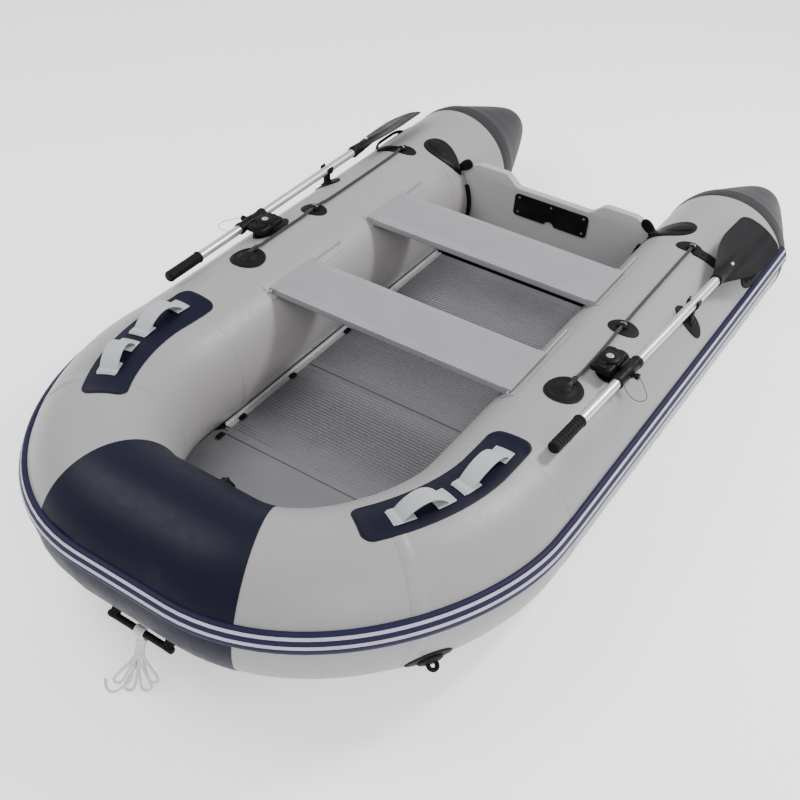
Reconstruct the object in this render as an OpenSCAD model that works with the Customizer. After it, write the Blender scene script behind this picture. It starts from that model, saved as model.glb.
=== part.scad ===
// Inflatable dinghy with an aluminium floor, two sliding benches and a pair of oars.
// Millimetres. +Z up, the bow towards -Y, port towards +X, Z = 0 under the side tubes.

/* [Hull] */
// Diameter of the side tubes
tube_d = 420; // [400:5:430]
// Distance of each side tube's centre line from the middle of the boat
tube_x = 532; // [520:1:545]
// Radius of the tube at the nose
nose_r = 189; // [180:1:200]
// How far the nose's centre line rises above the side tubes' own
nose_rise = 72; // [40:1:110]
// Thickness of the coated fabric's stand-in wall
skin = 4; // [3:0.5:5]
// Width of the rub rail along the tube
rail_w = 62; // [50:1:70]
// How far the rub rail stands off the tube
rail_h = 13; // [10:1:16]

/* [Floor and transom] */
// Height of the floor's upper face
floor_z = 100; // [96:1:104]
// Height of the transom's shoulders
transom_top = 386; // [370:1:395]
// Thickness of the transom board
transom_t = 30; // [24:1:36]

/* [Benches] */
// Height of the benches' upper face
bench_top = 391; // [390:0.5:392]
// Width of a bench, fore and aft
bench_w = 204; // [180:1:220]
// Middle of the front bench
front_bench_y = -225; // [-260:5:-200]
// Middle of the rear bench
rear_bench_y = 282; // [250:5:300]

/* [Oars] */
// Height of the oar shafts when stowed
oar_z = 434; // [434:0.5:436]
// Radius of an oar shaft
shaft_r = 14; // [13:0.5:15]
// How far the port oar's blade is turned outboard when stowed
port_yaw = 3; // [0:0.5:3]
// How far the starboard oar's blade is turned outboard when stowed
starboard_yaw = 1; // [0:0.5:3]
// Roll of the blades, so that they follow the tube
blade_roll = 28; // [20:1:32]

/* [Hidden] */
$fn = 48;

// colours
hull_grey = [0.67, 0.66, 0.67];
navy = [0.13, 0.13, 0.25];
cone_grey = [0.33, 0.33, 0.34];
stripe_white = [0.84, 0.83, 0.90];
bright_metal = [0.72, 0.72, 0.74];
bench_grey = [0.63, 0.62, 0.64];
black = [0.10, 0.10, 0.10];
web_grey = [0.75, 0.76, 0.76];
rope_white = [0.86, 0.86, 0.83];

// hull lines
tube_r = tube_d / 2;
glue = 0.3;
side_start_y = -560;
bend_y = -648;
cone_y = 992;
nose_y = -1195;
nose_half = 130;
bend_pull = 210;
nose_pull = 245;
bow_sides = 36;
seam_u = 0.88;
rise_power = 1.3;

// rub rail section
rail_angle = 15.6;
rail_half = rail_w / 2 / tube_r * 180 / PI;
bow_front_y = nose_y - (nose_r + glue + rail_h) * cos(rail_angle - rail_half / 2);
cone_tip_y = -bow_front_y;
cone_tip_r = 34;

// transom
transom_y = 688;
transom_rake = 4;
shoulder_x = 300;
notch_x = 138;
notch_drop = 38;
plate_w = 282;
plate_h = 80;
plate_t = 5;
drain_x = 180;
drain_z = 116;
drain_r = 12;

// floor
floor_half = 336;
panel_y = [-650, -243, 164, 535];
skin_t = 2.5;
rib_pitch = 12;
rib_h = 1.6;
web_h = 12;

// bench rails and benches
rod_angle = 127;
rod_r = 4;
rod_off = tube_r + 6;
rod_x = tube_x + rod_off * cos(rod_angle);
rod_z = tube_r + rod_off * sin(rod_angle);
bench_rail_y = [[front_bench_y - 117, front_bench_y + 245], [rear_bench_y - 108, rear_bench_y + 218]];
bench_half = 409;
bench_t = 24;
bench_wall = 2;
end_len = 26;

// rowlocks and oars
pivot_x = 590;
pivot_y = -122;
shaft_dx = 56;
turret_r = 24;
pivot_pin_r = 8;
thole_r = 4;
run = 0.05;
shaft_wall = 1.4;
grip_y = -390;
grip_len = 138;
grip_r = 17.5;
shaft_end = 640;
blade_y = 566;
blade_len = 372;
blade_w = 162;
blade_t = 5;
collar_len = 122;
collar_r = 19;
clip_y = 412;

// painter: a short white line made fast to the bow handle
rope_r = 3;
handle_angle = -45;
handle_r = 9;
handle_off = nose_r + 26;
bar_y = nose_y - handle_off * cos(handle_angle);
bar_z = tube_r + nose_rise + handle_off * sin(handle_angle);
tail = [[36, -1430, 7], [38, -1437, 5], [41, -1444, 3.6], [43, -1450, 3.2], [43, -1457, 3.1],
    [40, -1463, 3.1]];
lanyard = [[67, -40, -9], [73, -44, -13], [84, -52, -18], [100, -60, -22], [118, -66, -22], [132, -66, -19],
    [141, -60, -15], [142, -50, -12], [134, -38, -9], [122, -26, -6], [110, -14, -3], [100, -6, -1], [93, -2, 0], [88, 0, 0]];
lanyard_r = 0.9;

// ---- geometry helpers ----
function unit(v) = v / norm(v);
function mix(a, b, t) = a * (1 - t) + b * t;
function bez(a, b, c, d, t) =
    a * pow(1 - t, 3) + 3 * b * pow(1 - t, 2) * t + 3 * c * (1 - t) * t * t + d * pow(t, 3);

// share of the way from the start of the rise to the nose
function bow_share(y) = max(0, min(1, (side_start_y - y) / (side_start_y - nose_y)));
function tube_z(y) = tube_r + nose_rise * pow(bow_share(y), rise_power);
function tube_rad(y) = mix(tube_r, nose_r, pow(bow_share(y), 2));

// port centre line: u < 0 runs aft along the straight tube, 0 to 1 is the bend, 1 to 2 the nose
function plan(u) =
    u < 0 ? [tube_x, bend_y - 300 * u]
    : u > 1 ? [nose_half * (2 - u), nose_y]
    : bez([tube_x, bend_y], [tube_x, bend_y - bend_pull], [nose_half + nose_pull, nose_y],
        [nose_half, nose_y], u);
function centre(u) = [plan(u)[0], plan(u)[1], tube_z(plan(u)[1])];
function along(u) = plan(u)[1] > side_start_y - 1 ? [0, -1, 0] : unit(centre(u + 0.01) - centre(u - 0.01));
function outward(u) = unit(cross([0, 0, 1], along(u)));
function upward(u) = cross(along(u), outward(u));
function on_tube(u, angle, off = 0) =
    centre(u) + (tube_rad(plan(u)[1]) + off) * (cos(angle) * outward(u) + sin(angle) * upward(u));
function mirrored(p) = [-p[0], p[1], p[2]];

// stations from the port side tube round the nose to the starboard one; a negative sign mirrors
bend_u = [for (i = [0:10]) seam_u * i / 10];
port_u = concat([(bend_y - side_start_y) / 300, (bend_y - side_start_y) / 600], bend_u);
nose_u = [seam_u, 0.92, 0.96, 1, 1.5];
function ring(u, r_off, side = 1) =
    [for (k = [0:bow_sides - 1]) let (p = on_tube(u, 360 * k / bow_sides, r_off))
        side > 0 ? p : mirrored(p)];
function nose_rings(off) =
    concat([for (u = nose_u) ring(u, off)], [[for (k = [0:bow_sides - 1])
        on_tube(2, 360 * k / bow_sides, off)]],
        [for (i = [len(nose_u) - 1:-1:0]) ring(nose_u[i], off, -1)]);

// a closed solid skinned over rings of points
module sweep(rings) {
    n = len(rings[0]);
    m = len(rings);
    side_faces = [for (i = [0:m - 2]) for (k = [0:n - 1]) let (j = (k + 1) % n)
        [i * n + k, (i + 1) * n + k, (i + 1) * n + j, i * n + j]];
    caps = [[for (k = [0:n - 1]) k], [for (k = [n - 1:-1:0]) (m - 1) * n + k]];
    polyhedron([for (r = rings) each r], concat(side_faces, caps), convexity = 8);
}
// an open-ended hollow tube between outer and inner rings
module pipe(outer, inner) {
    n = len(outer[0]);
    m = len(outer);
    q = n * m;
    skin_faces = [for (i = [0:m - 2]) for (k = [0:n - 1]) let (j = (k + 1) % n)
        each [[i * n + k, (i + 1) * n + k, (i + 1) * n + j, i * n + j],
            [q + i * n + k, q + i * n + j, q + (i + 1) * n + j, q + (i + 1) * n + k]]];
    e = (m - 1) * n;
    ends = [for (k = [0:n - 1]) let (j = (k + 1) % n)
        each [[k, j, q + j, q + k], [e + k, q + e + k, q + e + j, e + j]]];
    polyhedron([for (r = concat(outer, inner)) each r], concat(skin_faces, ends), convexity = 8);
}
// a round rope or wire through a list of points
module rope(points, r, sides = 8) {
    last = len(points) - 1;
    sweep([for (i = [0:last])
        let (t = unit(points[min(i + 1, last)] - points[max(i - 1, 0)]),
            h = abs(t[2]) > 0.9 ? [0, 1, 0] : [0, 0, 1],
            n = unit(cross(h, t)), b = cross(t, n))
        [for (k = [0:sides - 1]) points[i] + r * (cos(360 * k / sides) * n + sin(360 * k / sides) * b)]]);
}
function smooth(points, steps) = let (m = len(points) - 1)
    concat([for (i = [0:m - 1]) for (s = [0:steps - 1])
        let (a = points[max(i - 1, 0)], b = points[i], c = points[i + 1], d = points[min(i + 2, m)], t = s / steps)
        0.5 * (2 * b + (c - a) * t + (2 * a - 5 * b + 4 * c - d) * t * t
            + (3 * b - a - 3 * c + d) * pow(t, 3))], [points[m]]);
// a strip that follows the tube between two angles, its outline narrowed by the list of half widths
function band_ring(u, mid, half, low, high, side = 1) =
    let (pts = concat([for (k = [0:4]) on_tube(u, mid - half + half * k / 2, high)],
        [for (k = [4:-1:0]) on_tube(u, mid - half + half * k / 2, low)]))
    side > 0 ? pts : [for (p = pts) mirrored(p)];
module both_sides() {
    children();
    mirror([1, 0, 0]) children();
}
module at_tube(y, angle, off = 0) {
    translate([tube_x + (tube_r + off) * cos(angle), y, tube_r + (tube_r + off) * sin(angle)])
        rotate([0, 90 - angle, 0]) children();
}
// a rubber patch that hugs the straight tube, oval, seen along the tube's normal
module oval(a, b) {
    polygon([for (k = [0:31]) [a * cos(k * 11.25), b * sin(k * 11.25)]]);
}
module hug(y, angle, thick, depth = 60) {
    intersection() {
        at_tube(y, angle, -depth) linear_extrude(depth + 30) children();
        tube_shell(y - 260, y + 260, tube_r + glue, tube_r + glue + thick);
    }
}
module tube_shell(y0, y1, r0, r1) {
    difference() {
        tube_bar(y0, y1, r1);
        tube_bar(y0 - 1, y1 + 1, r0);
    }
}
module tube_bar(y0, y1, r, x = tube_x, z = tube_r) {
    translate([x, y0, z]) rotate([-90, 0, 0]) cylinder(h = y1 - y0, r = r);
}
module round_rect(w, h, r) {
    polygon([for (c = [[1, 1, 0], [-1, 1, 90], [-1, -1, 180], [1, -1, 270]])
        for (k = [0:4]) let (a = c[2] + k * 22.5)
        [c[0] * (w / 2 - r) + r * cos(a), c[1] * (h / 2 - r) + r * sin(a)]]);
}
module round_box(size, r) {
    linear_extrude(size[2]) round_rect(size[0], size[1], r);
}

// ---- buoyancy tubes ----
module side_tube() {
    color(hull_grey) tube_shell(side_start_y + 0.2, cone_y, tube_r - skin, tube_r);
}
module bow_side_tube() {
    // five fabric gores, each a short length of tube
    cuts = [0, 3, 6, 8, 10, 12];
    color(hull_grey) for (g = [0:4]) {
        us = [for (i = [cuts[g]:cuts[g + 1]]) port_u[i] + (i == cuts[g] && g > 0 ? 0.0008 : 0)];
        pipe([for (u = us) ring(u, 0)], [for (u = us) ring(u, -skin)]);
    }
}
module bow_tube() {
    color(navy) translate([0, -0.4, 0]) pipe(nose_rings(0), nose_rings(-skin));
}
function cone_outline(off) = let (base = tube_r - off, tip = cone_tip_r, len = cone_tip_y - cone_y - off)
    [[0, 0], [base, 0], [base * 0.90, len * 0.16], [base * 0.70, len * 0.46], [base * 0.465, len * 0.78],
    for (k = [0:6]) [tip * 1.5 * cos(28 + k * 10) , len - tip + tip * sin(28 + k * 10) * 0.99],
    [0, len]];
module stern_cone() {
    color(cone_grey) translate([tube_x, cone_y + 0.2, tube_r]) rotate([-90, 0, 0]) difference() {
        rotate_extrude() polygon(cone_outline(0));
        translate([0, 0, -1]) rotate_extrude() polygon(cone_outline(skin));
    }
}
module chamber_baffles() {
    color(cone_grey) both_sides() {
        tube_bar(side_start_y + 30, side_start_y + 34, tube_r - skin - 0.6);
        tube_bar(cone_y - 44, cone_y - 40, tube_r - skin - 0.6);
    }
}
keel_r = 30;
keel_z = 50;
bottom_t = 3;
bottom_angle = -125;
bottom_turn = 25;
bottom_low = 14;
module hull_bottom() {
    // a flat V of fabric from tube to keel line, rising under the bow
    us = concat([-4.62, -3, -1.5, (bend_y - side_start_y) / 300], [for (i = [0:8]) 0.98 * i / 8]);
    function rib(u, up) = let (s = bow_share(plan(u)[1]),
        p = on_tube(u, bottom_angle + bottom_turn * pow(s, 1.5), -1))
        [p + [0, 0, up], [0, p[1], p[2] - (1 - s * s) * (38.8 - bottom_low) + up], mirrored(p) + [0, 0, up]];
    color(hull_grey) sweep([for (u = us) let (low = rib(u, 0), high = rib(u, bottom_t))
        [low[0], high[0], high[1], high[2], low[2], low[1]]]);
}
module keel_tube() {
    color(hull_grey) difference() {
        union() {
            tube_bar(-560, 640, keel_r, 0, keel_z);
            translate([0, -560, keel_z]) sphere(r = keel_r);
            translate([0, 640, keel_z]) sphere(r = keel_r);
        }
        tube_bar(-560, 640, keel_r - 3, 0, keel_z);
    }
}

// ---- rub rail ----
rail_steps = 6;
function rail_section(off) = [for (k = [0:rail_steps])
    let (s = k / rail_steps * 2 - 1) [rail_angle + s * rail_half, off * pow(1 - pow(abs(s), 3), 0.6) + 1]];
rail_back = [1, 0.5, 0, -0.5, -1];
function rail_ring(u) = let (sec = rail_section(rail_h - 1))
    concat([for (q = sec) on_tube(u, q[0], glue + q[1])],
        [for (s = rail_back) on_tube(u, rail_angle + s * rail_half, glue + 0.3)]);
rail_u = concat([(bend_y - cone_y) / 300, -3.6, -1.9], port_u, [0.92, 0.96, 1]);
function all_round(half) = concat(half, [for (i = [len(half) - 1:-1:0]) [for (p = half[i]) mirrored(p)]]);
module rub_rail() {
    color(navy) sweep(all_round([for (u = rail_u) rail_ring(u)]));
}
stripe_half = 1.15;
stripe_gap = 3.1;
stripe_t = 1;
module rail_stripes() {
    low = glue + rail_h + 0.3;
    color(stripe_white) for (s = [-1, 1]) {
        mid = rail_angle + s * stripe_gap;
        sweep(all_round([for (u = rail_u)
            [on_tube(u, mid - stripe_half, low + stripe_t), on_tube(u, mid + stripe_half, low + stripe_t),
            on_tube(u, mid + stripe_half, low), on_tube(u, mid - stripe_half, low)]]));
    }
}

// ---- transom ----
module on_transom() {
    // X across, Y up the board, Z aft, from the middle of its foot
    translate([0, transom_y, 0]) rotate([90 - transom_rake, 0, 0]) mirror([0, 0, 1]) children();
}
function half_transom() = [[409, 44], [409, 330], [378, 350], [shoulder_x + 50, transom_top - 17],
    [shoulder_x + 22, transom_top - 5], [shoulder_x - 8, transom_top], [notch_x + 62, transom_top], [notch_x + 34, transom_top - 8],
    [notch_x + 14, transom_top - notch_drop + 9], [notch_x - 8, transom_top - notch_drop]];
module transom_board() {
    right = half_transom();
    left = [for (i = [len(right) - 1:-1:0]) [-right[i][0], right[i][1]]];
    color(hull_grey) difference() {
        on_transom() linear_extrude(transom_t) polygon(concat(right, left));
        both_sides() tube_bar(600, 900, tube_r + 0.1);
        on_transom() translate([drain_x, drain_z, -1]) cylinder(h = transom_t + 2, r = drain_r);
        for (p = screw_spots()) on_transom() translate([p[0], p[1], -1])
            cylinder(h = transom_t + 2, r = 2.6);
    }
}
plate_mid = transom_top - notch_drop - 18 - plate_h / 2;
function screw_spots() = [[-124, plate_mid + 28], [0, plate_mid + 28], [124, plate_mid + 28],
    [-124, plate_mid - 26], [124, plate_mid - 26]];
module motor_plate(notched) {
    difference() {
        round_box([plate_w, plate_h, plate_t], 12);
        for (p = screw_spots()) translate([p[0], p[1] - plate_mid, -1]) {
            cylinder(h = plate_t + 2, r = 2.6);
            translate([0, 0, plate_t - 1.4]) cylinder(h = 4, r = 5.4);
        }
        if (notched) translate([0, -plate_h / 2 - 6, -1]) cylinder(h = plate_t + 2, r = 20);
        // shallow recess that keeps the clamp pads from slipping
        translate([0, 4, plate_t - 1]) round_box([plate_w - 74, 30, 4], 8);
    }
}
module transom_inner_plate() {
    color(black) on_transom() translate([0, plate_mid, -0.1]) mirror([0, 0, 1]) motor_plate(true);
}
module transom_outer_plate() {
    color(black) on_transom() translate([0, plate_mid, transom_t + 0.1]) motor_plate(false);
}
module transom_screws() {
    color(bright_metal) {
        // sunk into both plates so that nothing stands proud of either face
        for (p = screw_spots()) on_transom() translate([p[0], p[1], 2 - plate_t]) {
            mirror([0, 0, 1]) cylinder(h = 2, r1 = 5, r2 = 3.8);
            cylinder(h = transom_t + 2 * plate_t - 4, r = 2.5);
            translate([0, 0, transom_t + 2 * plate_t - 4]) cylinder(h = 2, r = 5);
        }
        both_sides() bracket_place() translate([0, -6, 6.4]) cylinder(h = 2.5, r1 = 5.5, r2 = 3.5);
    }
}
// the reinforcing bracket where the transom's corner meets the tube
bracket_y = 698;
bracket_a = 137;
module bracket_place() {
    at_tube(bracket_y, bracket_a, 0) children();
}
module transom_brackets() {
    // a long lobe lies up over the tube and a short one on the board's shoulder
    color(black) both_sides() {
        difference() {
            hug(bracket_y, bracket_a, 6, 90) polygon([for (k = [0:35]) let (a = k * 10,
                w = 44 + 28 * cos(a)) [62 + 92 * cos(a), 6 + w * sin(a)]]);
            on_transom() translate([0, 0, -0.2]) linear_extrude(transom_t + 0.4) square([800, 800], center = true);
        }
        on_transom() translate([0, 0, -8]) linear_extrude(7.8) difference() {
            translate([-372, 352]) rotate(-38)
                polygon([for (k = [0:35]) let (a = k * 10) [22 + 38 * cos(a), (17 + 8 * cos(a)) * sin(a)]]);
            translate([-tube_x, tube_r]) circle(r = tube_r + 2);
        }
    }
}
module transom_corner_strips() {
    // moulded strips that seal the corner between the board's inner face and each tube
    color(black) both_sides() intersection() {
        on_transom() translate([0, 0, -14.2]) linear_extrude(14) translate([-340, 230]) square([170, 136], center = true);
        mirror([1, 0, 0]) tube_shell(600, 760, tube_r + glue, tube_r + glue + 10);
    }
}
module drain_fitting() {
    color(black) on_transom() translate([drain_x, drain_z, 0]) difference() {
        union() {
            translate([0, 0, -4]) cylinder(h = 3.8, r = 24);
            translate([0, 0, -1]) cylinder(h = transom_t + 2, r = drain_r - 0.1);
            translate([0, 0, transom_t + 0.2]) cylinder(h = 4, r = 24);
        }
        translate([0, 0, -5]) cylinder(h = transom_t + 10, r = 9);
    }
}
module drain_plug() {
    color(black) on_transom() translate([drain_x, drain_z, -4.4]) {
        mirror([0, 0, 1]) cylinder(h = 7, r = 14);
        translate([0, 0, -8]) cylinder(h = 30, r = 8.95);
        translate([0, 0, -16]) rotate([0, 0, 45]) translate([-2, -12, 0]) cube([4, 24, 10]);
    }
}

// ---- floor ----
module floor_panel(y0, y1) {
    // a pressed skin with a tread of fine ribs above and stiffening webs below
    n = floor((y1 - y0 - 34) / rib_pitch);
    top = [for (i = [0:n - 1]) let (y = y0 + 18 + i * rib_pitch)
        each [[y, floor_z - rib_h], [y + 1.5, floor_z], [y + 5, floor_z], [y + 6.5, floor_z - rib_h]]];
    low = floor_z - rib_h - skin_t;
    webs = [for (i = [5:-1:0]) let (y = y0 + 30 + i * (y1 - y0 - 66) / 5)
        each [[y + 6, low], [y + 6, low - web_h], [y, low - web_h], [y, low]]];
    points = concat([[y0, floor_z - rib_h]], top, [[y1, floor_z - rib_h], [y1, low]], webs, [[y0, low]]);
    translate([-floor_half, 0, 0]) rotate([90, 0, 90]) linear_extrude(2 * floor_half) polygon(points);
}
module floor_panels() {
    color(bright_metal) for (i = [0:2]) floor_panel(panel_y[i] + 1.5, panel_y[i + 1] - 1.5);
}
function plate_edge(u) = let (y = plan(u)[1], r = tube_rad(y) + 2, dz = tube_z(y) - (floor_z - rib_h),
    inset = dz < r ? sqrt(r * r - dz * dz) : 0, p = centre(u) - (inset + 2) * outward(u)) [p[0], p[1]];
module bow_floor_plate() {
    edge = [for (i = [0:9]) plate_edge(mix(0.06, 0.70, i / 9))];
    right = concat([[floor_half, panel_y[0] - 1.5]], edge);
    left = [for (i = [len(right) - 1:-1:0]) [-right[i][0], right[i][1]]];
    color(bright_metal) translate([0, 0, floor_z - rib_h - 6]) linear_extrude(6) polygon(concat(right, left));
}
module floor_joiners() {
    // H sections that lock one panel to the next
    low = floor_z - rib_h - skin_t;
    color(bright_metal) for (y = [for (i = [0:2]) panel_y[i]]) translate([15 - floor_half, y, 0])
        rotate([90, 0, 90]) linear_extrude(2 * floor_half - 30) polygon([[-13, floor_z - rib_h + 0.1],
            [-13, floor_z + 1], [13, floor_z + 1], [13, floor_z - rib_h + 0.1], [1.3, floor_z - rib_h + 0.1],
            [1.3, low - 4], [-1.3, low - 4], [-1.3, floor_z - rib_h + 0.1]]);
}
stringer_gap = 164;
module side_stringers() {
    // channels clipped over the panels' ends, in two lengths a side
    low = floor_z - rib_h - skin_t;
    color(bright_metal) both_sides() for (span = [[panel_y[0] + 14, stringer_gap - 4], [stringer_gap + 4, panel_y[3] - 2]])
        translate([floor_half, span[1], 0]) rotate([90, 0, 0]) linear_extrude(span[1] - span[0])
            polygon([[-14, floor_z + 1.2], [3, floor_z + 1.2], [6, floor_z + 7], [9, floor_z + 7],
                [9, floor_z + 2], [6, floor_z - 2], [6, low - web_h - 3], [-12, low - web_h - 3],
                [-12, low - web_h - 0.4], [0.4, low - web_h - 0.4], [0.4, floor_z + 0.2], [-14, floor_z + 0.2]]);
}
module floor_clips() {
    color(black) both_sides() for (y = [panel_y[0] + 70, panel_y[0] - 12 - 20, -50, -340])
        translate([floor_half - 14, y, floor_z + 1.4]) round_box([16, 26, 5], 4);
}
module floor_end_seal() {
    color(black) translate([0, panel_y[3] + 32, floor_z - 6]) difference() {
        round_box([2 * floor_half - 8, 58, 12], 5);
        for (x = [-240, -120, 0, 120, 240]) translate([x, 27, 8]) cube([18, 14, 10], center = true);
    }
}

// ---- benches ----
module bench(y) {
    h = bench_half - end_len;
    color(bench_grey) translate([0, y, bench_top - bench_t]) difference() {
        translate([-h, -bench_w / 2, 0]) rotate([90, 0, 90]) linear_extrude(2 * h)
            polygon([[2, 0], [bench_w - 2, 0], [bench_w, 2], [bench_w, bench_t - 3], [bench_w - 3, bench_t],
                [3, bench_t], [0, bench_t - 3], [0, 2]]);
        for (i = [0:3]) translate([-h - 1, -bench_w / 2 + bench_wall + i * (bench_w - bench_wall) / 4, bench_wall])
            cube([2 * h + 2, (bench_w - bench_wall) / 4 - bench_wall, bench_t - 2 * bench_wall]);
    }
}
module bench_ends(y) {
    // hooked end castings that ride on the rods along the tubes
    color(bench_grey) both_sides() translate([0, y, 0]) difference() {
        union() {
            translate([bench_half - end_len + 0.2, -bench_w / 2, bench_top - bench_t])
                cube([end_len - 0.2, bench_w, bench_t]);
            translate([bench_half - end_len - 20, -bench_w / 2 + 8, bench_top - bench_t + bench_wall + 0.3])
                cube([21, 38, bench_t - 2 * bench_wall - 0.6]);
            translate([bench_half - end_len - 20, bench_w / 2 - 44, bench_top - bench_t + bench_wall + 0.3])
                cube([21, 36, bench_t - 2 * bench_wall - 0.6]);
        }
        tube_bar(-bench_w, bench_w, tube_r + 3.2);
        tube_bar(-bench_w, bench_w, rod_r + 0.4, rod_x, rod_z);
        translate([rod_x, -bench_w, rod_z - 20]) cube([60, 2 * bench_w, 20]);
    }
}
module bench_rails() {
    color(web_grey) both_sides() for (span = bench_rail_y) {
        len = span[1] - span[0];
        intersection() {
            tube_shell(span[0], span[1], tube_r + glue, tube_r + 2);
            at_tube(span[0] + len / 2, rod_angle, 0) cube([52, len, 60], center = true);
        }
        tube_bar(span[0] + 4, span[1] - 4, rod_r, rod_x, rod_z);
        for (y = [span[0] + 12, span[0] + len / 2, span[1] - 12]) at_tube(y, rod_angle, 1.8)
            linear_extrude(4) square([3, 12], center = true);
    }
}

// ---- grab handles ----
patch_mid = 91;
function patch_share(u, a, b, w, corner) = let (d = min(norm(centre(u) - centre(a)), norm(centre(u) - centre(b))))
    d >= corner ? w : w - corner + sqrt(max(0, corner * corner - pow(corner - d, 2)));
module handle_patches() {
    a = -0.46;
    b = 0.575;
    us = concat([a, a + 0.03, a + 0.07, a + 0.12], [for (i = [2:8]) port_u[i]], [b - 0.03, b - 0.015, b]);
    color(navy) both_sides() sweep([for (u = us)
        band_ring(u, patch_mid + 3, patch_share(u, a, b, 62, 30) / tube_rad(plan(u)[1]) * 180 / PI, 0.6, 3.2)]);
}
module webbing_handles() {
    // flat loops of webbing, each stitched down at both feet and bowed up between them
    color(web_grey) both_sides() for (span = [[-0.21, 0.22], [0.255, 0.475]]) {
        sweep([for (i = [0:14]) let (t = i / 14, u = mix(span[0], span[1], t),
            rise = 36 * pow(max(0, sin(180 * (t - 0.12) / 0.76)), 0.8) * (t > 0.12 && t < 0.88 ? 1 : 0) + 4.2,
            half = (25 - 3 * sin(180 * t)) / 205 * 180 / PI)
            band_ring(u, patch_mid, half, rise, rise + 2.4)]);
    }
}

// ---- lifelines ----
eye_spots = [[-275, 89], [73, 86], [590, 90]];
line_x = 542.4;
line_r = 4;
module rope_hole(x, z) {
    translate([x, 40, z]) rotate([90, 0, 0]) cylinder(h = 60, r = line_r + 0.5);
}
module lifeline_eyes() {
    color(black) both_sides() {
        // a large round dish with the rope's end knotted under its raised middle
        hug(eye_spots[0][0], eye_spots[0][1], 3) oval(55, 56);
        difference() {
            at_tube(eye_spots[0][0], eye_spots[0][1], -5) cylinder(h = 16, r1 = 42, r2 = 13);
            tube_bar(-400, -150, tube_r + 1);
            at_tube(eye_spots[0][0], eye_spots[0][1], 3.2) rope_hole(7.7, 4.7);
        }
        hug(eye_spots[1][0], eye_spots[1][1], 3) oval(46, 34);
        hug(eye_spots[2][0], eye_spots[2][1], 3) oval(42, 28);
        hug(577, 76, 6, 90) translate([12, 0]) round_rect(84, 30, 8);
        for (y = [eye_spots[1][0], eye_spots[2][0] - 6]) at_tube(y, 87, 3.4) difference() {
            translate([-13, -13, -1.6]) cube([26, 26, 12.7]);
            rope_hole(0, 4.6);
        }
    }
}
module lifelines() {
    // rope held all the way: knotted in the front eye, through the middle one, ending at the after one
    z = tube_r + sqrt(pow(tube_r, 2) - pow(line_x - tube_x, 2)) + line_r + glue + 0.3;
    route = smooth([[line_x + 1, -268, z + 3.4], [line_x + 1, -214, z + 3.4], [line_x + 1, -196, z + 1], [line_x + 2, -170, z],
        [line_x + 2, -40, z], [line_x + 1, 16, z + 1], [line_x + 1, 35, z + 3.4], [line_x + 1, 111, z + 3.4],
        [line_x, 130, z + 1], [line_x - 1, 200, z], [line_x - 1, 460, z], [line_x, 540, z + 1],
        [line_x + 1, 558, z + 3.4], [line_x + 1, 604, z + 3.4]], 2);
    color(black) both_sides() rope(route, line_r);
}

// ---- rowlocks ----
module rowlock_base() {
    color(black) {
        hug(pivot_y + 30, 73, 3) oval(42, 74);
        translate([pivot_x, pivot_y, 0]) difference() {
            union() {
                translate([0, 0, 380]) cylinder(h = oar_z - 10 - 380, r = turret_r);
                translate([0, 0, oar_z - 11]) cylinder(h = 31, r = pivot_pin_r);
            }
            translate([-pivot_x, -pivot_y, 0]) tube_bar(-300, 100, tube_r + 3.6);
        }
    }
}
module at_pivot(yaw) {
    translate([pivot_x, pivot_y, oar_z]) rotate([0, 0, -yaw]) children();
}
module swivel() {
    color(black) difference() {
        union() {
            translate([0, 0, -8.5]) cylinder(h = 37, r = 30);
            translate([0, 0, -2]) round_box([66, 112, 24], 14);
            translate([-8, 24, 21]) cylinder(h = 7, r = 19);
            translate([-8, -26, 21]) cylinder(h = 5, r = 16);
            translate([26, -18, -12]) cube([8, 36, 36]);
            translate([-18, -52, 21]) cube([30, 22, 4]);
        }
        translate([0, 0, -18]) cylinder(h = 13, r = turret_r + 0.6);
        translate([0, 0, -12]) cylinder(h = 34, r = pivot_pin_r + run);
        translate([14, 0, 0]) rotate([0, 90, 0]) cylinder(h = 40, r = thole_r + run);
    }
}

// ---- oars, drawn along +Y from the rowlock's pivot ----
module oar_shaft() {
    color(bright_metal) translate([shaft_dx, grip_y + 8, 0]) rotate([-90, 0, 0]) difference() {
        cylinder(h = shaft_end - grip_y - 8, r = shaft_r);
        translate([0, 0, -1]) cylinder(h = shaft_end - grip_y, r = shaft_r - shaft_wall);
        translate([-30, 0, -grip_y - 8]) rotate([0, 90, 0]) cylinder(h = 60, r = thole_r + run);
    }
}
module oar_grip() {
    color(black) translate([shaft_dx, grip_y, 0]) rotate([-90, 0, 0]) difference() {
        union() {
            cylinder(h = grip_len, r = grip_r - 1);
            cylinder(h = 12, r = grip_r);
            for (i = [0:8]) translate([0, 0, 20 + i * 12]) cylinder(h = 7, r = grip_r);
            translate([0, 0, grip_len - 6]) cylinder(h = 6, r = grip_r + 1);
        }
        translate([0, 0, 7.5]) cylinder(h = grip_len, r = shaft_r + run);
    }
}
function blade_edge() = [[18, 0], [30, 24], [54, 62], [70, 108], [blade_w / 2 - 4, 190],
    [blade_w / 2, blade_len - 44], for (k = [1:5]) [blade_w / 2 - 32 + 32 * cos(k * 17), blade_len - 40 + 34 * sin(k * 17)]];
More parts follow.
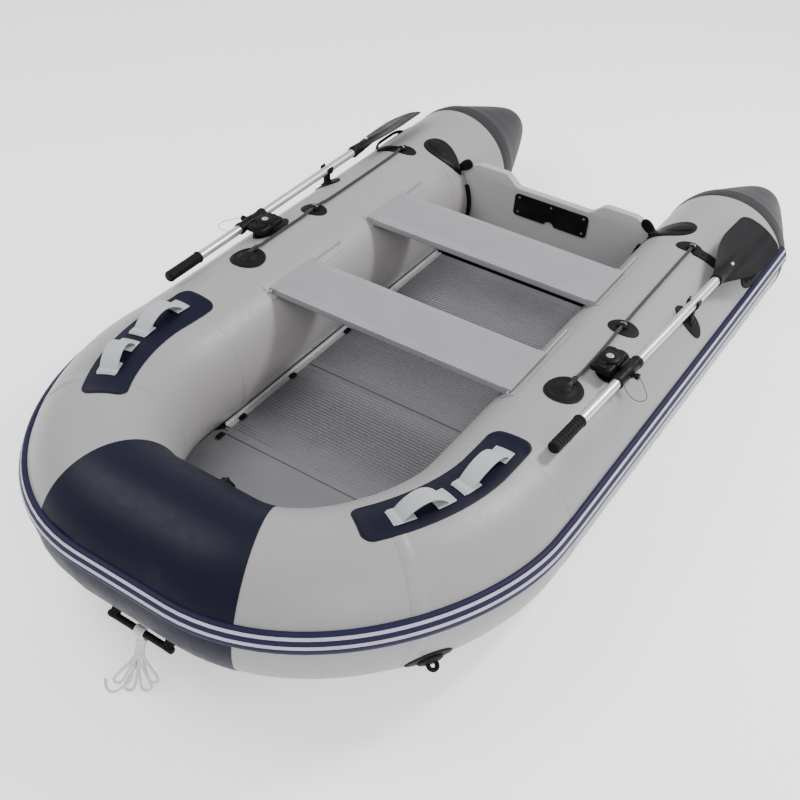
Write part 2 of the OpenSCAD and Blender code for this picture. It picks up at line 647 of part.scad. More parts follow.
module oar_blade() {
    right = blade_edge();
    left = [for (i = [len(right) - 1:-1:0]) [-right[i][0], right[i][1]]];
    color(black) translate([shaft_dx, blade_y, 0]) rotate([0, blade_roll, 0]) difference() {
        union() {
            translate([0, 0, -blade_t / 2]) linear_extrude(blade_t) polygon(concat(right, left));
            rotate([-90, 0, 0]) cylinder(h = 90, r = shaft_r + 4);
            translate([0, 90, 0]) rotate([-90, 0, 0]) cylinder(h = 120, r1 = shaft_r + 4, r2 = 3);
        }
        translate([0, -1, 0]) rotate([-90, 0, 0]) cylinder(h = shaft_end - blade_y + 1.3, r = shaft_r + run);
    }
}
module oar_collar() {
    color(black) translate([shaft_dx, -collar_len / 2, 0]) difference() {
        union() {
            rotate([-90, 0, 0]) cylinder(h = collar_len, r = collar_r - 2);
            for (y = [0, collar_len - 14]) translate([0, y, 0]) rotate([-90, 0, 0]) cylinder(h = 14, r = collar_r - 0.8);
            translate([0, collar_len / 2, 0]) rotate([0, 90, 0]) cylinder(h = collar_r + 1, r = 11);
            translate([0, collar_len / 2, 0]) rotate([0, -90, 0]) cylinder(h = collar_r, r = 10);
        }
        translate([0, -1, 0]) rotate([-90, 0, 0]) cylinder(h = collar_len + 2, r = shaft_r + run);
        translate([-30, collar_len / 2, 0]) rotate([0, 90, 0]) cylinder(h = 60, r = thole_r + run);
    }
}
module thole_pin() {
    color(bright_metal) translate([16, 0, 0]) rotate([0, 90, 0]) cylinder(h = 64, r = thole_r);
    color(black) translate([79, 0, 0]) rotate([0, 90, 0]) {
        cylinder(h = 3, r = 6);
        translate([0, 0, 2.9]) cylinder(h = 10, r = 9);
    }
}
module pin_lanyard() {
    color(bright_metal) rope(smooth(lanyard, 2), lanyard_r, 6);
}
module oar_clip(yaw) {
    a = acos((pivot_x + shaft_dx + clip_y * sin(yaw) - tube_x) / tube_r);
    color(black) {
        hug(pivot_y + clip_y, a, 3) oval(58, 23);
        difference() {
            at_pivot(yaw) translate([shaft_dx, clip_y, 0]) difference() {
                union() {
                    translate([0, -13, 0]) rotate([-90, 0, 0]) cylinder(h = 26, r = 19.5);
                    translate([-9, -11, -70]) cube([18, 22, 56]);
                }
                translate([0, -30, 0]) rotate([-90, 0, 0]) cylinder(h = 60, r = shaft_r + 0.5);
                translate([-11, -30, 0]) cube([22, 60, 40]);
            }
            tube_bar(0, 600, tube_r + 3.6);
        }
    }
}

// ---- fittings on the tubes ----
stern_handle_y = 768;
stern_handle_a = 33;
module stern_handles() {
    color(black) both_sides() {
        hug(stern_handle_y, stern_handle_a, 4, 50) oval(30, 138);
        at_tube(stern_handle_y, stern_handle_a, 4) {
            difference() {
                translate([-9, -86, -2]) cube([18, 172, 27]);
                translate([-20, -62, -3]) cube([40, 124, 20]);
            }
        }
    }
}
tow_u = 0.42;
module tow_eyes() {
    us = [for (i = [0:8]) tow_u + 0.05 * cos(180 - i * 22.5)];
    color(black) both_sides() {
        sweep([for (u = us) let (s = (u - tow_u) / 0.05)
            band_ring(u, -24, (sqrt(max(0, 1 - s * s)) * 30 + 6) / 205 * 180 / PI, 0.6, 5)]);
        translate(on_tube(tow_u, -24, 4)) rotate([0, 0, atan2(outward(tow_u)[1], outward(tow_u)[0])])
            rotate([0, 24, 0]) difference() {
                union() {
                    translate([0, -17, -7]) cube([12, 34, 14]);
                    translate([12, 0, -7]) cylinder(h = 14, r = 17);
                }
                translate([14, 0, -10]) cylinder(h = 20, r = 8);
            }
    }
}
module bow_handle() {
    color(black) {
        translate([0, nose_y, tube_r + nose_rise]) intersection() {
            rotate([0, 90, 0]) difference() {
                cylinder(h = 244, r = nose_r + 6, center = true);
                cylinder(h = 250, r = nose_r + glue, center = true);
            }
            rotate([-handle_angle + 180, 0, 0]) translate([-122, nose_r - 60, -19]) cube([244, 80, 38]);
        }
        translate([-104, bar_y, bar_z]) rotate([0, 90, 0]) cylinder(h = 208, r = handle_r);
        for (s = [-1, 1]) translate([s * 86, nose_y, tube_r + nose_rise]) rotate([-handle_angle + 180, 0, 0])
            translate([-13, nose_r + 5.6, -9]) cube([26, 21, 18]);
    }
}

// ---- painter ----
wrap_half = 24;
module painter_hank() {
    color(rope_white) translate([2, bar_y, bar_z]) rotate([0, 90, 0]) difference() {
        cylinder(h = 2 * wrap_half, r = handle_r + 2 * rope_r + 0.6, center = true);
        cylinder(h = 2 * wrap_half + 2, r = handle_r + 0.2, center = true);
    }
    spine = [[4, bar_y - 3, bar_z - 18], [6, bar_y - 12, bar_z - 36], [11, -1372, 70], [18, -1388, 44], [25, -1404, 22],
        [31, -1420, 10], [36, -1434, 9]];
    halfs = [[16, 8], [21, 9], [21, 9], [21, 9], [22, 9], [24, 8], [20, 7]];
    color(rope_white) sweep([for (i = [0:6])
        let (t = unit(spine[min(i + 1, 6)] - spine[max(i - 1, 0)]), n = unit(cross(t, [0, 0, 1])), b = cross(n, t))
        [for (k = [0:11]) spine[i] + halfs[i][0] * cos(-30 * k) * n + halfs[i][1] * sin(-30 * k) * b]]);
}
module painter_rope() {
    color(rope_white) rope(tail, rope_r);
}

// ---- inflation valves ----
valve_r = 23;
module valve_body() {
    difference() {
        union() {
            cylinder(h = 5, r = valve_r);
            translate([0, 0, -34]) cylinder(h = 35, r = 15);
        }
        translate([0, 0, -35]) cylinder(h = 60, r = 11);
    }
}
module valve_cap() {
    color(black) {
        translate([0, 0, 5.4]) cylinder(h = 8, r = valve_r - 3);
        translate([0, 0, 0.6]) cylinder(h = 7.4, r = 10.94);
        translate([-2.5, 4 - valve_r, 10]) cube([5, 2 * valve_r - 8, 8]);
    }
}
module at_side_valve() {
    at_tube(460, 170, 0.4) children();
}
module at_bow_valve() {
    translate([0, nose_y, tube_r + nose_rise]) rotate([-70, 0, 0]) translate([0, 0, nose_r + 1]) children();
}
module valve_bodies() {
    color(black) {
        both_sides() at_side_valve() valve_body();
        at_bow_valve() valve_body();
    }
}

module starboard() {
    mirror([1, 0, 0]) children();
}

side_tube();  // port_side_tube
starboard() side_tube();  // starboard_side_tube
bow_side_tube();  // port_bow_tube
starboard() bow_side_tube();  // starboard_bow_tube
bow_tube();
both_sides() stern_cone();  // stern_cones
chamber_baffles();
hull_bottom();
keel_tube();
rub_rail();
rail_stripes();
transom_board();
transom_inner_plate();
transom_outer_plate();
transom_brackets();
transom_screws();
transom_corner_strips();
drain_fitting();
drain_plug();
bow_floor_plate();
floor_panels();
floor_joiners();
side_stringers();
floor_clips();
floor_end_seal();
bench(front_bench_y);  // front_bench
bench_ends(front_bench_y);  // front_bench_ends
bench(rear_bench_y);  // rear_bench
bench_ends(rear_bench_y);  // rear_bench_ends
bench_rails();
handle_patches();
webbing_handles();
lifeline_eyes();
lifelines();
both_sides() rowlock_base();  // rowlock_bases
at_pivot(port_yaw) swivel();  // port_swivel
starboard() at_pivot(starboard_yaw) swivel();  // starboard_swivel
at_pivot(port_yaw) oar_shaft();  // port_oar_shaft
at_pivot(port_yaw) oar_grip();  // port_oar_grip
at_pivot(port_yaw) oar_blade();  // port_oar_blade
at_pivot(port_yaw) oar_collar();  // port_oar_collar
at_pivot(port_yaw) thole_pin();  // port_thole_pin
at_pivot(port_yaw) pin_lanyard();  // port_pin_lanyard
starboard() at_pivot(starboard_yaw) oar_shaft();  // starboard_oar_shaft
starboard() at_pivot(starboard_yaw) oar_grip();  // starboard_oar_grip
starboard() at_pivot(starboard_yaw) oar_blade();  // starboard_oar_blade
starboard() at_pivot(starboard_yaw) oar_collar();  // starboard_oar_collar
starboard() at_pivot(starboard_yaw) thole_pin();  // starboard_thole_pin
starboard() at_pivot(starboard_yaw) pin_lanyard();  // starboard_pin_lanyard
union() {  // oar_clips
    oar_clip(port_yaw);
    starboard() oar_clip(starboard_yaw);
}
stern_handles();
tow_eyes();
bow_handle();
painter_rope();
painter_hank();
valve_bodies();
at_side_valve() valve_cap();  // port_valve_cap
starboard() at_side_valve() valve_cap();  // starboard_valve_cap
at_bow_valve() valve_cap();  // bow_valve_cap
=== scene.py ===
import bpy
import bmesh
from math import acos, cos, degrees, exp, pi, radians, sin, sqrt
from mathutils import Matrix, Vector, noise


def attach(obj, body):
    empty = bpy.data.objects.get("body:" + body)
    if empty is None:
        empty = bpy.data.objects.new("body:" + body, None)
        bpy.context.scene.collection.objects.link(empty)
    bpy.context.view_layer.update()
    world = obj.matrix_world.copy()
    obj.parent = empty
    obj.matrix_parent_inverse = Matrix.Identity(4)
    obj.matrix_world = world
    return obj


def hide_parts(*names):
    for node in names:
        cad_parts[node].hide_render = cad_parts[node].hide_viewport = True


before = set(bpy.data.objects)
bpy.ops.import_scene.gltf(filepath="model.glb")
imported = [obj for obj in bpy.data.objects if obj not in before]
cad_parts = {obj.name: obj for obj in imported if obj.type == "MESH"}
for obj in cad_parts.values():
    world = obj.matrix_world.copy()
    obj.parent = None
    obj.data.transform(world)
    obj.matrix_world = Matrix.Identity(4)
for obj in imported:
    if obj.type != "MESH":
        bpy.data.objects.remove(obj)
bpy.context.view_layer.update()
print("frame loaded:", len(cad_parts), "nodes")

# camera and light

camera = {"place": (1.398, -2.487, 2.311), "target": (-0.023, -0.304, 0.2045), "roll": 1.9,
          "lens": 51.2, "shift": (0.0247, -0.0248)}


def aimed(place, target, roll=0.0):
    ahead = (Vector(target) - Vector(place)).normalized()
    right = ahead.cross(Vector((0, 0, 1))).normalized()
    over = right.cross(ahead)
    turn = radians(roll)
    across = right * cos(turn) + over * sin(turn)
    over = over * cos(turn) - right * sin(turn)
    matrix = Matrix((across, over, -ahead)).transposed().to_4x4()
    matrix.translation = Vector(place)
    return matrix


def addCamera():
    data = bpy.data.cameras.new("photoCamera")
    data.lens = camera["lens"]
    data.sensor_width = 36
    data.shift_x, data.shift_y = camera["shift"]
    data.clip_end = 50
    obj = bpy.data.objects.new("photoCamera", data)
    bpy.context.scene.collection.objects.link(obj)
    obj.matrix_world = aimed(camera["place"], camera["target"], camera["roll"])
    bpy.context.scene.camera = obj


def addLight(name, place, target, size, power):
    data = bpy.data.lights.new(name, "AREA")
    data.shape = "RECTANGLE"
    data.size, data.size_y = size
    data.energy = power
    obj = bpy.data.objects.new(name, data)
    bpy.context.scene.collection.objects.link(obj)
    obj.matrix_world = aimed(place, target)


addCamera()
addLight("keyLight", (-2.2, -1.6, 3.6), (0, -0.1, 0.2), (2.4, 2.4), 105)
addLight("fillLight", (3.2, -2.4, 2.4), (0, -0.2, 0.2), (2.4, 2.0), 60)
addLight("sternLight", (1.9, 2.1, 3.3), (0, 0.1, 0.2), (0.9, 0.9), 150)
world = bpy.data.worlds.new("studio")
bpy.context.scene.world = world
world.use_nodes = True
world.node_tree.nodes["Background"].inputs["Color"].default_value = (0.93, 0.95, 1.0, 1)
world.node_tree.nodes["Background"].inputs["Strength"].default_value = 0.95
print("camera and light made")

# the hull's line, from the stern of the port tube round the nose to starboard

hull = {"tubeX": 0.532, "tubeR": 0.210, "riseFrom": -0.560, "bendY": -0.648, "noseY": -1.195,
        "noseHalf": 0.130, "bendPull": 0.210, "nosePull": 0.245, "noseR": 0.189, "noseRise": 0.072,
        "risePower": 1.3, "coneY": 0.992, "seamShare": 0.88}


def bendPoint(u):
    a = Vector((hull["tubeX"], hull["bendY"], 0))
    b = Vector((hull["tubeX"], hull["bendY"] - hull["bendPull"], 0))
    c = Vector((hull["noseHalf"] + hull["nosePull"], hull["noseY"], 0))
    d = Vector((hull["noseHalf"], hull["noseY"], 0))
    return a * (1 - u) ** 3 + b * 3 * (1 - u) ** 2 * u + c * 3 * (1 - u) * u * u + d * u ** 3


bendSteps = 240
bendRun = [0.0]
for i in range(bendSteps):
    bendRun.append(bendRun[-1] + (bendPoint((i + 1) / bendSteps) - bendPoint(i / bendSteps)).length)
bendLength = bendRun[-1]
halfRun = bendLength + hull["noseHalf"]


def runAt(u):
    # distance along the line from the start of the bend
    if u < 0:
        return u * 0.3
    i = min(int(u * bendSteps), bendSteps - 1)
    return bendRun[i] + (bendRun[i + 1] - bendRun[i]) * (u * bendSteps - i)


def spine(s):
    if s <= 0:
        flat = Vector((hull["tubeX"], hull["bendY"] - s, 0))
    elif s >= bendLength:
        flat = Vector((hull["noseHalf"] - (s - bendLength), hull["noseY"], 0))
    else:
        low, high = 0, bendSteps
        while high - low > 1:
            middle = (low + high) // 2
            low, high = (middle, high) if bendRun[middle] <= s else (low, middle)
        flat = bendPoint((low + (s - bendRun[low]) / (bendRun[high] - bendRun[low])) / bendSteps)
    flat.z = hull["tubeR"] + hull["noseRise"] * bowShare(flat.y) ** hull["risePower"]
    return flat


def bowShare(y):
    return max(0.0, min(1.0, (hull["riseFrom"] - y) / (hull["riseFrom"] - hull["noseY"])))


def hullFrame(s):
    flip = s > halfRun
    t = 2 * halfRun - s if flip else s
    centre = spine(t)
    along = (spine(t + 0.003) - spine(t - 0.003)).normalized()
    out = Vector((0, 0, 1)).cross(along).normalized()
    over = along.cross(out)
    share = bowShare(centre.y)
    radius = hull["tubeR"] + (hull["noseR"] - hull["tubeR"]) * share * share
    if flip:
        for v in (centre, out, over):
            v.x = -v.x
    return centre, out, over, radius


def onHull(s, angle, off=0.0):
    centre, out, over, radius = hullFrame(s)
    a = radians(angle)
    return centre + (out * cos(a) + over * sin(a)) * (radius + off)


def runOf(y):
    # a place on the straight tube
    return hull["bendY"] - y


# mesh tools

def loft(rings, closed=True, capped=True):
    # a skin extruded from ring to ring, with a UV map that runs along it and around it
    bm = bmesh.new()
    place = bm.verts.layers.int.new("place")
    ringLayer = bm.verts.layers.int.new("ring")
    row = []
    for k, p in enumerate(rings[0]):
        v = bm.verts.new(p)
        v[place] = k
        row.append(v)
    ends = row[1:] + row[:1] if closed else row[1:]
    edges = [bm.edges.new(pair) for pair in zip(row, ends)]
    run = [0.0]
    for i, ring in enumerate(rings[1:], 1):
        made = bmesh.ops.extrude_edge_only(bm, edges=edges)["geom"]
        for v in [g for g in made if isinstance(g, bmesh.types.BMVert)]:
            v[ringLayer] = i
            v.co = ring[v[place]]
        edges = [g for g in made if isinstance(g, bmesh.types.BMEdge)]
        run.append(run[-1] + (Vector(ring[0]) - Vector(rings[i - 1][0])).length)
    count = len(rings[0])
    uv = bm.loops.layers.uv.new("weave")
    for face in bm.faces:
        places = [l.vert[place] for l in face.loops]
        wraps = closed and max(places) - min(places) > 1
        for l in face.loops:
            k = l.vert[place]
            k = k + count if wraps and k == 0 else k
            l[uv].uv = (run[l.vert[ringLayer]], k / count)
    if capped:
        bmesh.ops.holes_fill(bm, edges=[e for e in bm.edges if e.is_boundary], sides=0)
    bmesh.ops.recalc_face_normals(bm, faces=bm.faces)
    return bm


def stack(outline, levels, place):
    # a low solid raised from an outline in levels of (share of the outline, height)
    return loft([[place(p * share, q * share, height) for p, q in outline] for share, height in levels])


def padLevels(thick, dome=0.0, lift=0.0004):
    top = [(1 - 0.02 * k, thick * (0.55 + 0.45 * sin(k * pi / 6))) for k in range(4)]
    crown = [(share, thick + dome * (1 - share * share))
             for share in (0.86, 0.72, 0.56, 0.38, 0.2, 0.02)]
    base = [(share, lift) for share in (0.02, 0.3, 0.6, 0.85, 1)]
    return base + top + crown


def onSide(s, angle):
    # a place function that hugs the tube: p runs towards the bow and q over the tube
    radius = hullFrame(s)[3]
    return lambda p, q, h: onHull(s + p, angle + degrees(q / radius), h)


def oval(a, b, n=40):
    return [(a * cos(2 * pi * k / n), b * sin(2 * pi * k / n)) for k in range(n)]


def roundRect(a, b, r, n=8, along=6):
    points = []
    corners = [(a - r, b - r, 0), (r - a, b - r, 90), (r - a, r - b, 180), (a - r, r - b, 270)]
    for i, (x, y, start) in enumerate(corners):
        for k in range(n + 1):
            turn = radians(start + 90 * k / n)
            points.append((x + r * cos(turn), y + r * sin(turn)))
        nextX, nextY, nextStart = corners[(i + 1) % 4]
        turn = radians(nextStart)
        goal = (nextX + r * cos(turn), nextY + r * sin(turn))
        last = points[-1]
        points += [(last[0] + (goal[0] - last[0]) * k / along,
                    last[1] + (goal[1] - last[1]) * k / along)
                   for k in range(1, along)]
    return points


def block(size, bevel, matrix, segments=3):
    bm = bmesh.new()
    bmesh.ops.create_cube(bm, size=1.0)
    bmesh.ops.scale(bm, vec=size, verts=bm.verts)
    bmesh.ops.bevel(bm, geom=list(bm.edges), offset=bevel, segments=segments, affect="EDGES",
                    profile=0.5, material=-1)
    bmesh.ops.transform(bm, matrix=matrix, verts=bm.verts)
    return bm


def turned(profile, matrix, steps=40):
    # a profile of (radius, height) turned about the Z axis
    bm = bmesh.new()
    row = [bm.verts.new((r, 0, z)) for r, z in profile]
    edges = [bm.edges.new(pair) for pair in zip(row, row[1:])]
    bmesh.ops.spin(bm, geom=row + edges, cent=(0, 0, 0), axis=(0, 0, 1), angle=2 * pi, steps=steps,
                   use_merge=True, use_duplicate=False)
    bmesh.ops.remove_doubles(bm, verts=bm.verts, dist=1e-6)
    bmesh.ops.transform(bm, matrix=matrix, verts=bm.verts)
    bmesh.ops.recalc_face_normals(bm, faces=bm.faces)
    return bm


def smoothed(points, steps):
    # points along a curve through every given point
    out = []
    last = len(points) - 1
    for i in range(last):
        a, b, c, d = (Vector(points[max(i - 1, 0)]), Vector(points[i]), Vector(points[i + 1]),
                      Vector(points[min(i + 2, last)]))
        for k in range(steps):
            t = k / steps
            out.append(0.5 * (2 * b + (c - a) * t + (2 * a - 5 * b + 4 * c - d) * t * t
                              + (3 * b - a - 3 * c + d) * t ** 3))
    return out + [Vector(points[-1])]


def tubeRings(path, radius, sides=12):
    # rings carried along a path without twisting
    rings = []
    last = len(path) - 1
    normal = None
    for i, p in enumerate(path):
        along = (path[min(i + 1, last)] - path[max(i - 1, 0)]).normalized()
        if normal is None:
            normal = along.orthogonal().normalized()
        normal = (normal - along * normal.dot(along)).normalized()
        side = along.cross(normal)
        turns = [2 * pi * k / sides for k in range(sides)]
        rings.append([p + normal * radius * cos(a) + side * radius * sin(a) for a in turns])
    return rings


def ropeMesh(path, radius, sides=12):
    return loft(tubeRings(path, radius, sides))


def joined(*meshes):
    whole = bmesh.new()
    for bm in meshes:
        part = bpy.data.meshes.new("part")
        bm.to_mesh(part)
        bm.free()
        whole.from_mesh(part)
        bpy.data.meshes.remove(part)
    return whole


def mirrored(bm):
    bmesh.ops.scale(bm, vec=(-1, 1, 1), verts=bm.verts)
    bmesh.ops.reverse_faces(bm, faces=bm.faces)
    return bm


def bothSides(make):
    return joined(make(), mirrored(make()))


def addPiece(name, bm, material, body="hull", instead=(), sharp=38):
    mesh = bpy.data.meshes.new(name)
    bm.to_mesh(mesh)
    bm.free()
    obj = bpy.data.objects.new(name, mesh)
    bpy.context.scene.collection.objects.link(obj)
    mesh.materials.append(material)
    mesh.shade_smooth()
    mesh.set_sharp_from_angle(angle=radians(sharp))
    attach(obj, body)
    if instead:
        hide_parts(*instead)
    return obj


def moved(x=0.0, y=0.0, z=0.0):
    return Matrix.Translation((x, y, z))


def turnedBy(angle, axis):
    return Matrix.Rotation(radians(angle), 4, axis)


def hullMatrix(s, angle, off=0.0):
    # local Z stands off the tube, local X runs over it away from the crest, local Y runs aft
    centre, out, over, radius = hullFrame(s)
    a = radians(angle)
    z = out * cos(a) + over * sin(a)
    y = z.cross(out * sin(a) - over * cos(a)).normalized()
    x = y.cross(z)
    matrix = Matrix((x, y, z)).transposed().to_4x4()
    matrix.translation = centre + z * (radius + off)
    return matrix


# materials

class Sock:
    # a socket that can be used in sums
    def __init__(self, paint, socket):
        self.paint = paint
        self.socket = socket

    def sum(self, operation, other, swapped=False):
        values = [other, self] if swapped else [self, other]
        return self.paint.maths(operation, *values)

    def __add__(self, other):
        return self.sum("ADD", other)

    def __radd__(self, other):
        return self.sum("ADD", other, True)

    def __sub__(self, other):
        return self.sum("SUBTRACT", other)

    def __rsub__(self, other):
        return self.sum("SUBTRACT", other, True)

    def __mul__(self, other):
        return self.sum("MULTIPLY", other)

    def __rmul__(self, other):
        return self.sum("MULTIPLY", other, True)


class Paint:
    def __init__(self, name):
        self.material = bpy.data.materials.new(name)
        self.material.use_nodes = True
        self.tree = self.material.node_tree
        self.shader = self.tree.nodes["Principled BSDF"]

    def node(self, kind, settings=None, inputs=(), out=0):
        made = self.tree.nodes.new(kind)
        for key, value in (settings or {}).items():
            if key == "stops":
                ramp = made.color_ramp
                for i, (at, colour) in enumerate(value):
                    stop = ramp.elements[i] if i < 2 else ramp.elements.new(at)
                    stop.position = at
                    stop.color = colour
            else:
                setattr(made, key, value)
        pairs = inputs.items() if isinstance(inputs, dict) else enumerate(inputs)
        for key, value in pairs:
            self.plug(made.inputs[key], value)
        return Sock(self, made.outputs[out])

    def plug(self, socket, value):
        if isinstance(value, Sock):
            self.tree.links.new(value.socket, socket)
        else:
            socket.default_value = value

    def place(self, kind="Object"):
        return self.node("ShaderNodeTexCoord", out=kind)

    def weave(self):
        # the UV map's two ways, along the piece and around it
        u = self.node("ShaderNodeSeparateXYZ", None, [self.place("UV")])
        return u, Sock(self, u.socket.node.outputs[1])

    def maths(self, operation, *values):
        return self.node("ShaderNodeMath", {"operation": operation}, values)

    def stretched(self, place, scale):
        return self.node("ShaderNodeMapping", {"vector_type": "POINT"},
                         {"Vector": place, "Scale": scale})

    def cloud(self, place, scale, detail=3.0, rough=0.55):
        return self.node("ShaderNodeTexNoise", {"noise_dimensions": "3D"},
                         {"Vector": place, "Scale": scale, "Detail": detail, "Roughness": rough})

    def step(self, value, low, high, start=0.0, end=1.0):
        return self.node("ShaderNodeMapRange", {"interpolation_type": "SMOOTHSTEP"},
                         [value, low, high, start, end])

    def blend(self, share, a, b):
        return self.node("ShaderNodeMix", {"data_type": "RGBA"}, {0: share, 6: a, 7: b}, 2)

    def bump(self, height, strength, distance, under=None):
        inputs = {"Height": height, "Strength": strength, "Distance": distance}
        if under:
            inputs["Normal"] = under
        return self.node("ShaderNodeBump", None, inputs)

    def finish(self, **values):
        for key, value in values.items():
            self.plug(self.shader.inputs[key.replace("_", " ")], value)
        return self.material


def shade(colour, factor):
    return (colour[0] * factor, colour[1] * factor, colour[2] * factor, 1)


def coatedFabric(name, colour, gloss=0.40, dust=0.05, shine=0.3):
    # woven base under a satin coat: slight mottling, a faint weave and long soft wrinkles
    p = Paint(name)
    place = p.place()
    mottle = p.cloud(place, 2.6, 4)
    fine = p.cloud(place, 38, 5, 0.65)
    dustMask = p.step(p.cloud(place, 7, 6, 0.7), 0.55, 0.78)
    base = p.blend(mottle, shade(colour, 0.93), shade(colour, 1.06))
    base = p.blend(fine * 0.18, base, shade(colour, 0.82))
    base = p.blend(dustMask * dust, base, (0.62, 0.60, 0.57, 1))
    threads = p.node("ShaderNodeTexVoronoi", {"feature": "F1", "distance": "CHEBYCHEV"},
                     {"Vector": place, "Scale": 900.0, "Randomness": 0.25})
    wrinkles = p.cloud(p.stretched(place, (1, 0.45, 1)), 9, 2, 0.4)
    soft = p.bump(wrinkles, 0.25, 0.004)
    grain = p.bump(threads + fine * 1.5, 0.16, 0.0004, soft)
    return p.finish(Base_Color=base,
                    Roughness=p.step(fine + dustMask * 0.3, 0.2, 1.1, gloss - 0.05, gloss + 0.16),
                    Normal=grain, Coat_Weight=0.12 * shine, Coat_Roughness=0.35,
                    Specular_IOR_Level=shine)


def moulded(name, colour, gloss=0.42, grain=420.0, wear=0.25):
    # moulded plastic or rubber: fine spark grain, handling shine and a little dust
    p = Paint(name)
    place = p.place()
    spark = p.cloud(place, grain, 2, 0.6)
    wide = p.cloud(place, 11, 5, 0.6)
    rub = p.step(wide, 0.48, 0.72)
    base = p.blend(wide, shade(colour, 0.8), shade(colour, 1.35))
    base = p.blend(rub * wear * 0.22, base, (0.09, 0.09, 0.09, 1))
    return p.finish(Base_Color=base,
                    Roughness=p.step(spark * 0.4 + wide * 0.6, 0.25, 0.75, gloss, gloss + 0.2),
                    Normal=p.bump(spark + wide * 0.6, 0.35, 0.0005), Specular_IOR_Level=0.12)


def brushedMetal(name, colour, stretch, gloss=0.30, metal=1.0, scratches=0.6, lines=160.0):
    # drawn or brushed metal, with lines along one way and faint blotches of oxide
    p = Paint(name)
    place = p.place()
    drawn = p.cloud(p.stretched(place, stretch), lines, 3, 0.6)
    blotch = p.cloud(place, 6, 5, 0.6)
    base = p.blend(blotch, shade(colour, 0.88), shade(colour, 1.08))
    base = p.blend(drawn * 0.35 * scratches, base, shade(colour, 0.72))
    return p.finish(Base_Color=base, Metallic=metal,
                    Roughness=p.step(drawn * 0.6 + blotch * 0.4, 0.2, 0.8, gloss, gloss + 0.22),
                    Normal=p.bump(drawn, 0.22 * scratches, 0.0003))


def paintedBoard(name, colour):
    p = Paint(name)
    place = p.place()
    peel = p.cloud(place, 240, 2, 0.5)
    ply = p.cloud(p.stretched(place, (1.0, 8, 14)), 9, 4, 0.6)
    marks = p.step(p.cloud(place, 22, 6, 0.7), 0.6, 0.75)
    base = p.blend(ply, shade(colour, 0.92), shade(colour, 1.05))
    base = p.blend(marks * 0.14, base, shade(colour, 0.6))
    return p.finish(Base_Color=base, Roughness=p.step(peel + marks, 0.3, 1.4, 0.34, 0.55),
                    Normal=p.bump(peel + ply * 0.5, 0.2, 0.0006), Coat_Weight=0.15, Coat_Roughness=0.3)


def woven(name, colour, along=260.0, across=9.0):
    # flat webbing: ribs across the strap crossed by long threads
    p = Paint(name)
    u, v = p.weave()
    ribs = p.maths("SINE", u * (along * 2 * pi))
    threads = p.maths("SINE", v * (across * 2 * 2 * pi))
    cross = p.maths("ABSOLUTE", ribs * threads)
    fuzz = p.cloud(p.place(), 600, 3, 0.7)
    soil = p.cloud(p.place(), 14, 4, 0.6)
    base = p.blend(cross * 0.6 + fuzz * 0.3, shade(colour, 0.72), shade(colour, 1.1))
    base = p.blend(soil * 0.25, base, shade(colour, 0.8))
    return p.finish(Base_Color=base, Roughness=p.step(fuzz, 0.2, 0.8, 0.62, 0.85),
                    Normal=p.bump(cross * 0.7 + fuzz * 0.3, 0.6, 0.0006), Sheen_Weight=0.2)


def braided(name, colour, along=95.0, around=4.0, gloss=0.6):
    # braided rope: two sets of strands that cross on the slant
    p = Paint(name)
    u, v = p.weave()
    slant = u * (along * 2 * pi)
    turn = v * (around * 2 * pi)
    left = p.maths("SINE", slant + turn)
    right = p.maths("SINE", slant - turn)
    strands = p.maths("MAXIMUM", left, right) * 0.5 + 0.5
    fuzz = p.cloud(p.place(), 900, 3, 0.7)
    base = p.blend(strands * 0.8 + fuzz * 0.2, shade(colour, 0.55), shade(colour, 1.08))
    return p.finish(Base_Color=base, Roughness=p.step(fuzz, 0.2, 0.8, gloss, gloss + 0.2),
                    Normal=p.bump(strands + fuzz * 0.3, 0.7, 0.0009), Sheen_Weight=0.15)


greyFabric = coatedFabric("greyCoatedFabric", (0.285, 0.270, 0.270), 0.40)
navyFabric = coatedFabric("navyCoatedFabric", (0.0040, 0.0040, 0.0140), 0.42, 0.010, 0.13)
innerFabric = coatedFabric("floorFabric", (0.150, 0.143, 0.150), 0.45, 0.10)
conePlastic = moulded("conePlastic", (0.026, 0.023, 0.025), 0.45, 300.0, 0.4)
railRubber = moulded("railRubber", (0.012, 0.011, 0.034), 0.42, 500.0, 0.1)
stripeRubber = moulded("stripeRubber", (0.40, 0.39, 0.46), 0.45, 500.0, 0.1)
blackPlastic = moulded("blackPlastic", (0.0035, 0.0034, 0.0038), 0.36, 420.0, 0.12)
blackRubber = moulded("blackRubber", (0.0042, 0.0041, 0.0044), 0.46, 300.0, 0.12)
boardPaint = paintedBoard("boardPaint", (0.36, 0.357, 0.36))
floorMetal = brushedMetal("floorAluminium", (0.205, 0.20, 0.21), (0.05, 1, 1), 0.36, 0.7, 0.8)
benchMetal = brushedMetal("benchAluminium", (0.30, 0.295, 0.31), (0.05, 1, 1), 0.36, 0.35, 0.5)
shaftMetal = brushedMetal("oarAluminium", (0.66, 0.66, 0.68), (1, 0.03, 1), 0.26, 0.9, 0.5)
railMetal = brushedMetal("railAluminium", (0.60, 0.60, 0.61), (1, 0.04, 1), 0.3, 0.8, 0.5)
steel = brushedMetal("stainless", (0.62, 0.62, 0.63), (1, 1, 1), 0.22, 1.0, 0.3)
webbing = woven("webbing", (0.40, 0.405, 0.41))
lifelineBraid = braided("lifelineBraid", (0.006, 0.006, 0.0065), 110.0, 4.0, 0.62)
painterBraid = braided("painterBraid", (0.74, 0.73, 0.69), 130.0, 4.0, 0.7)
print("materials made")

# painter: a coil of rope hung over the bow handle and cinched below it

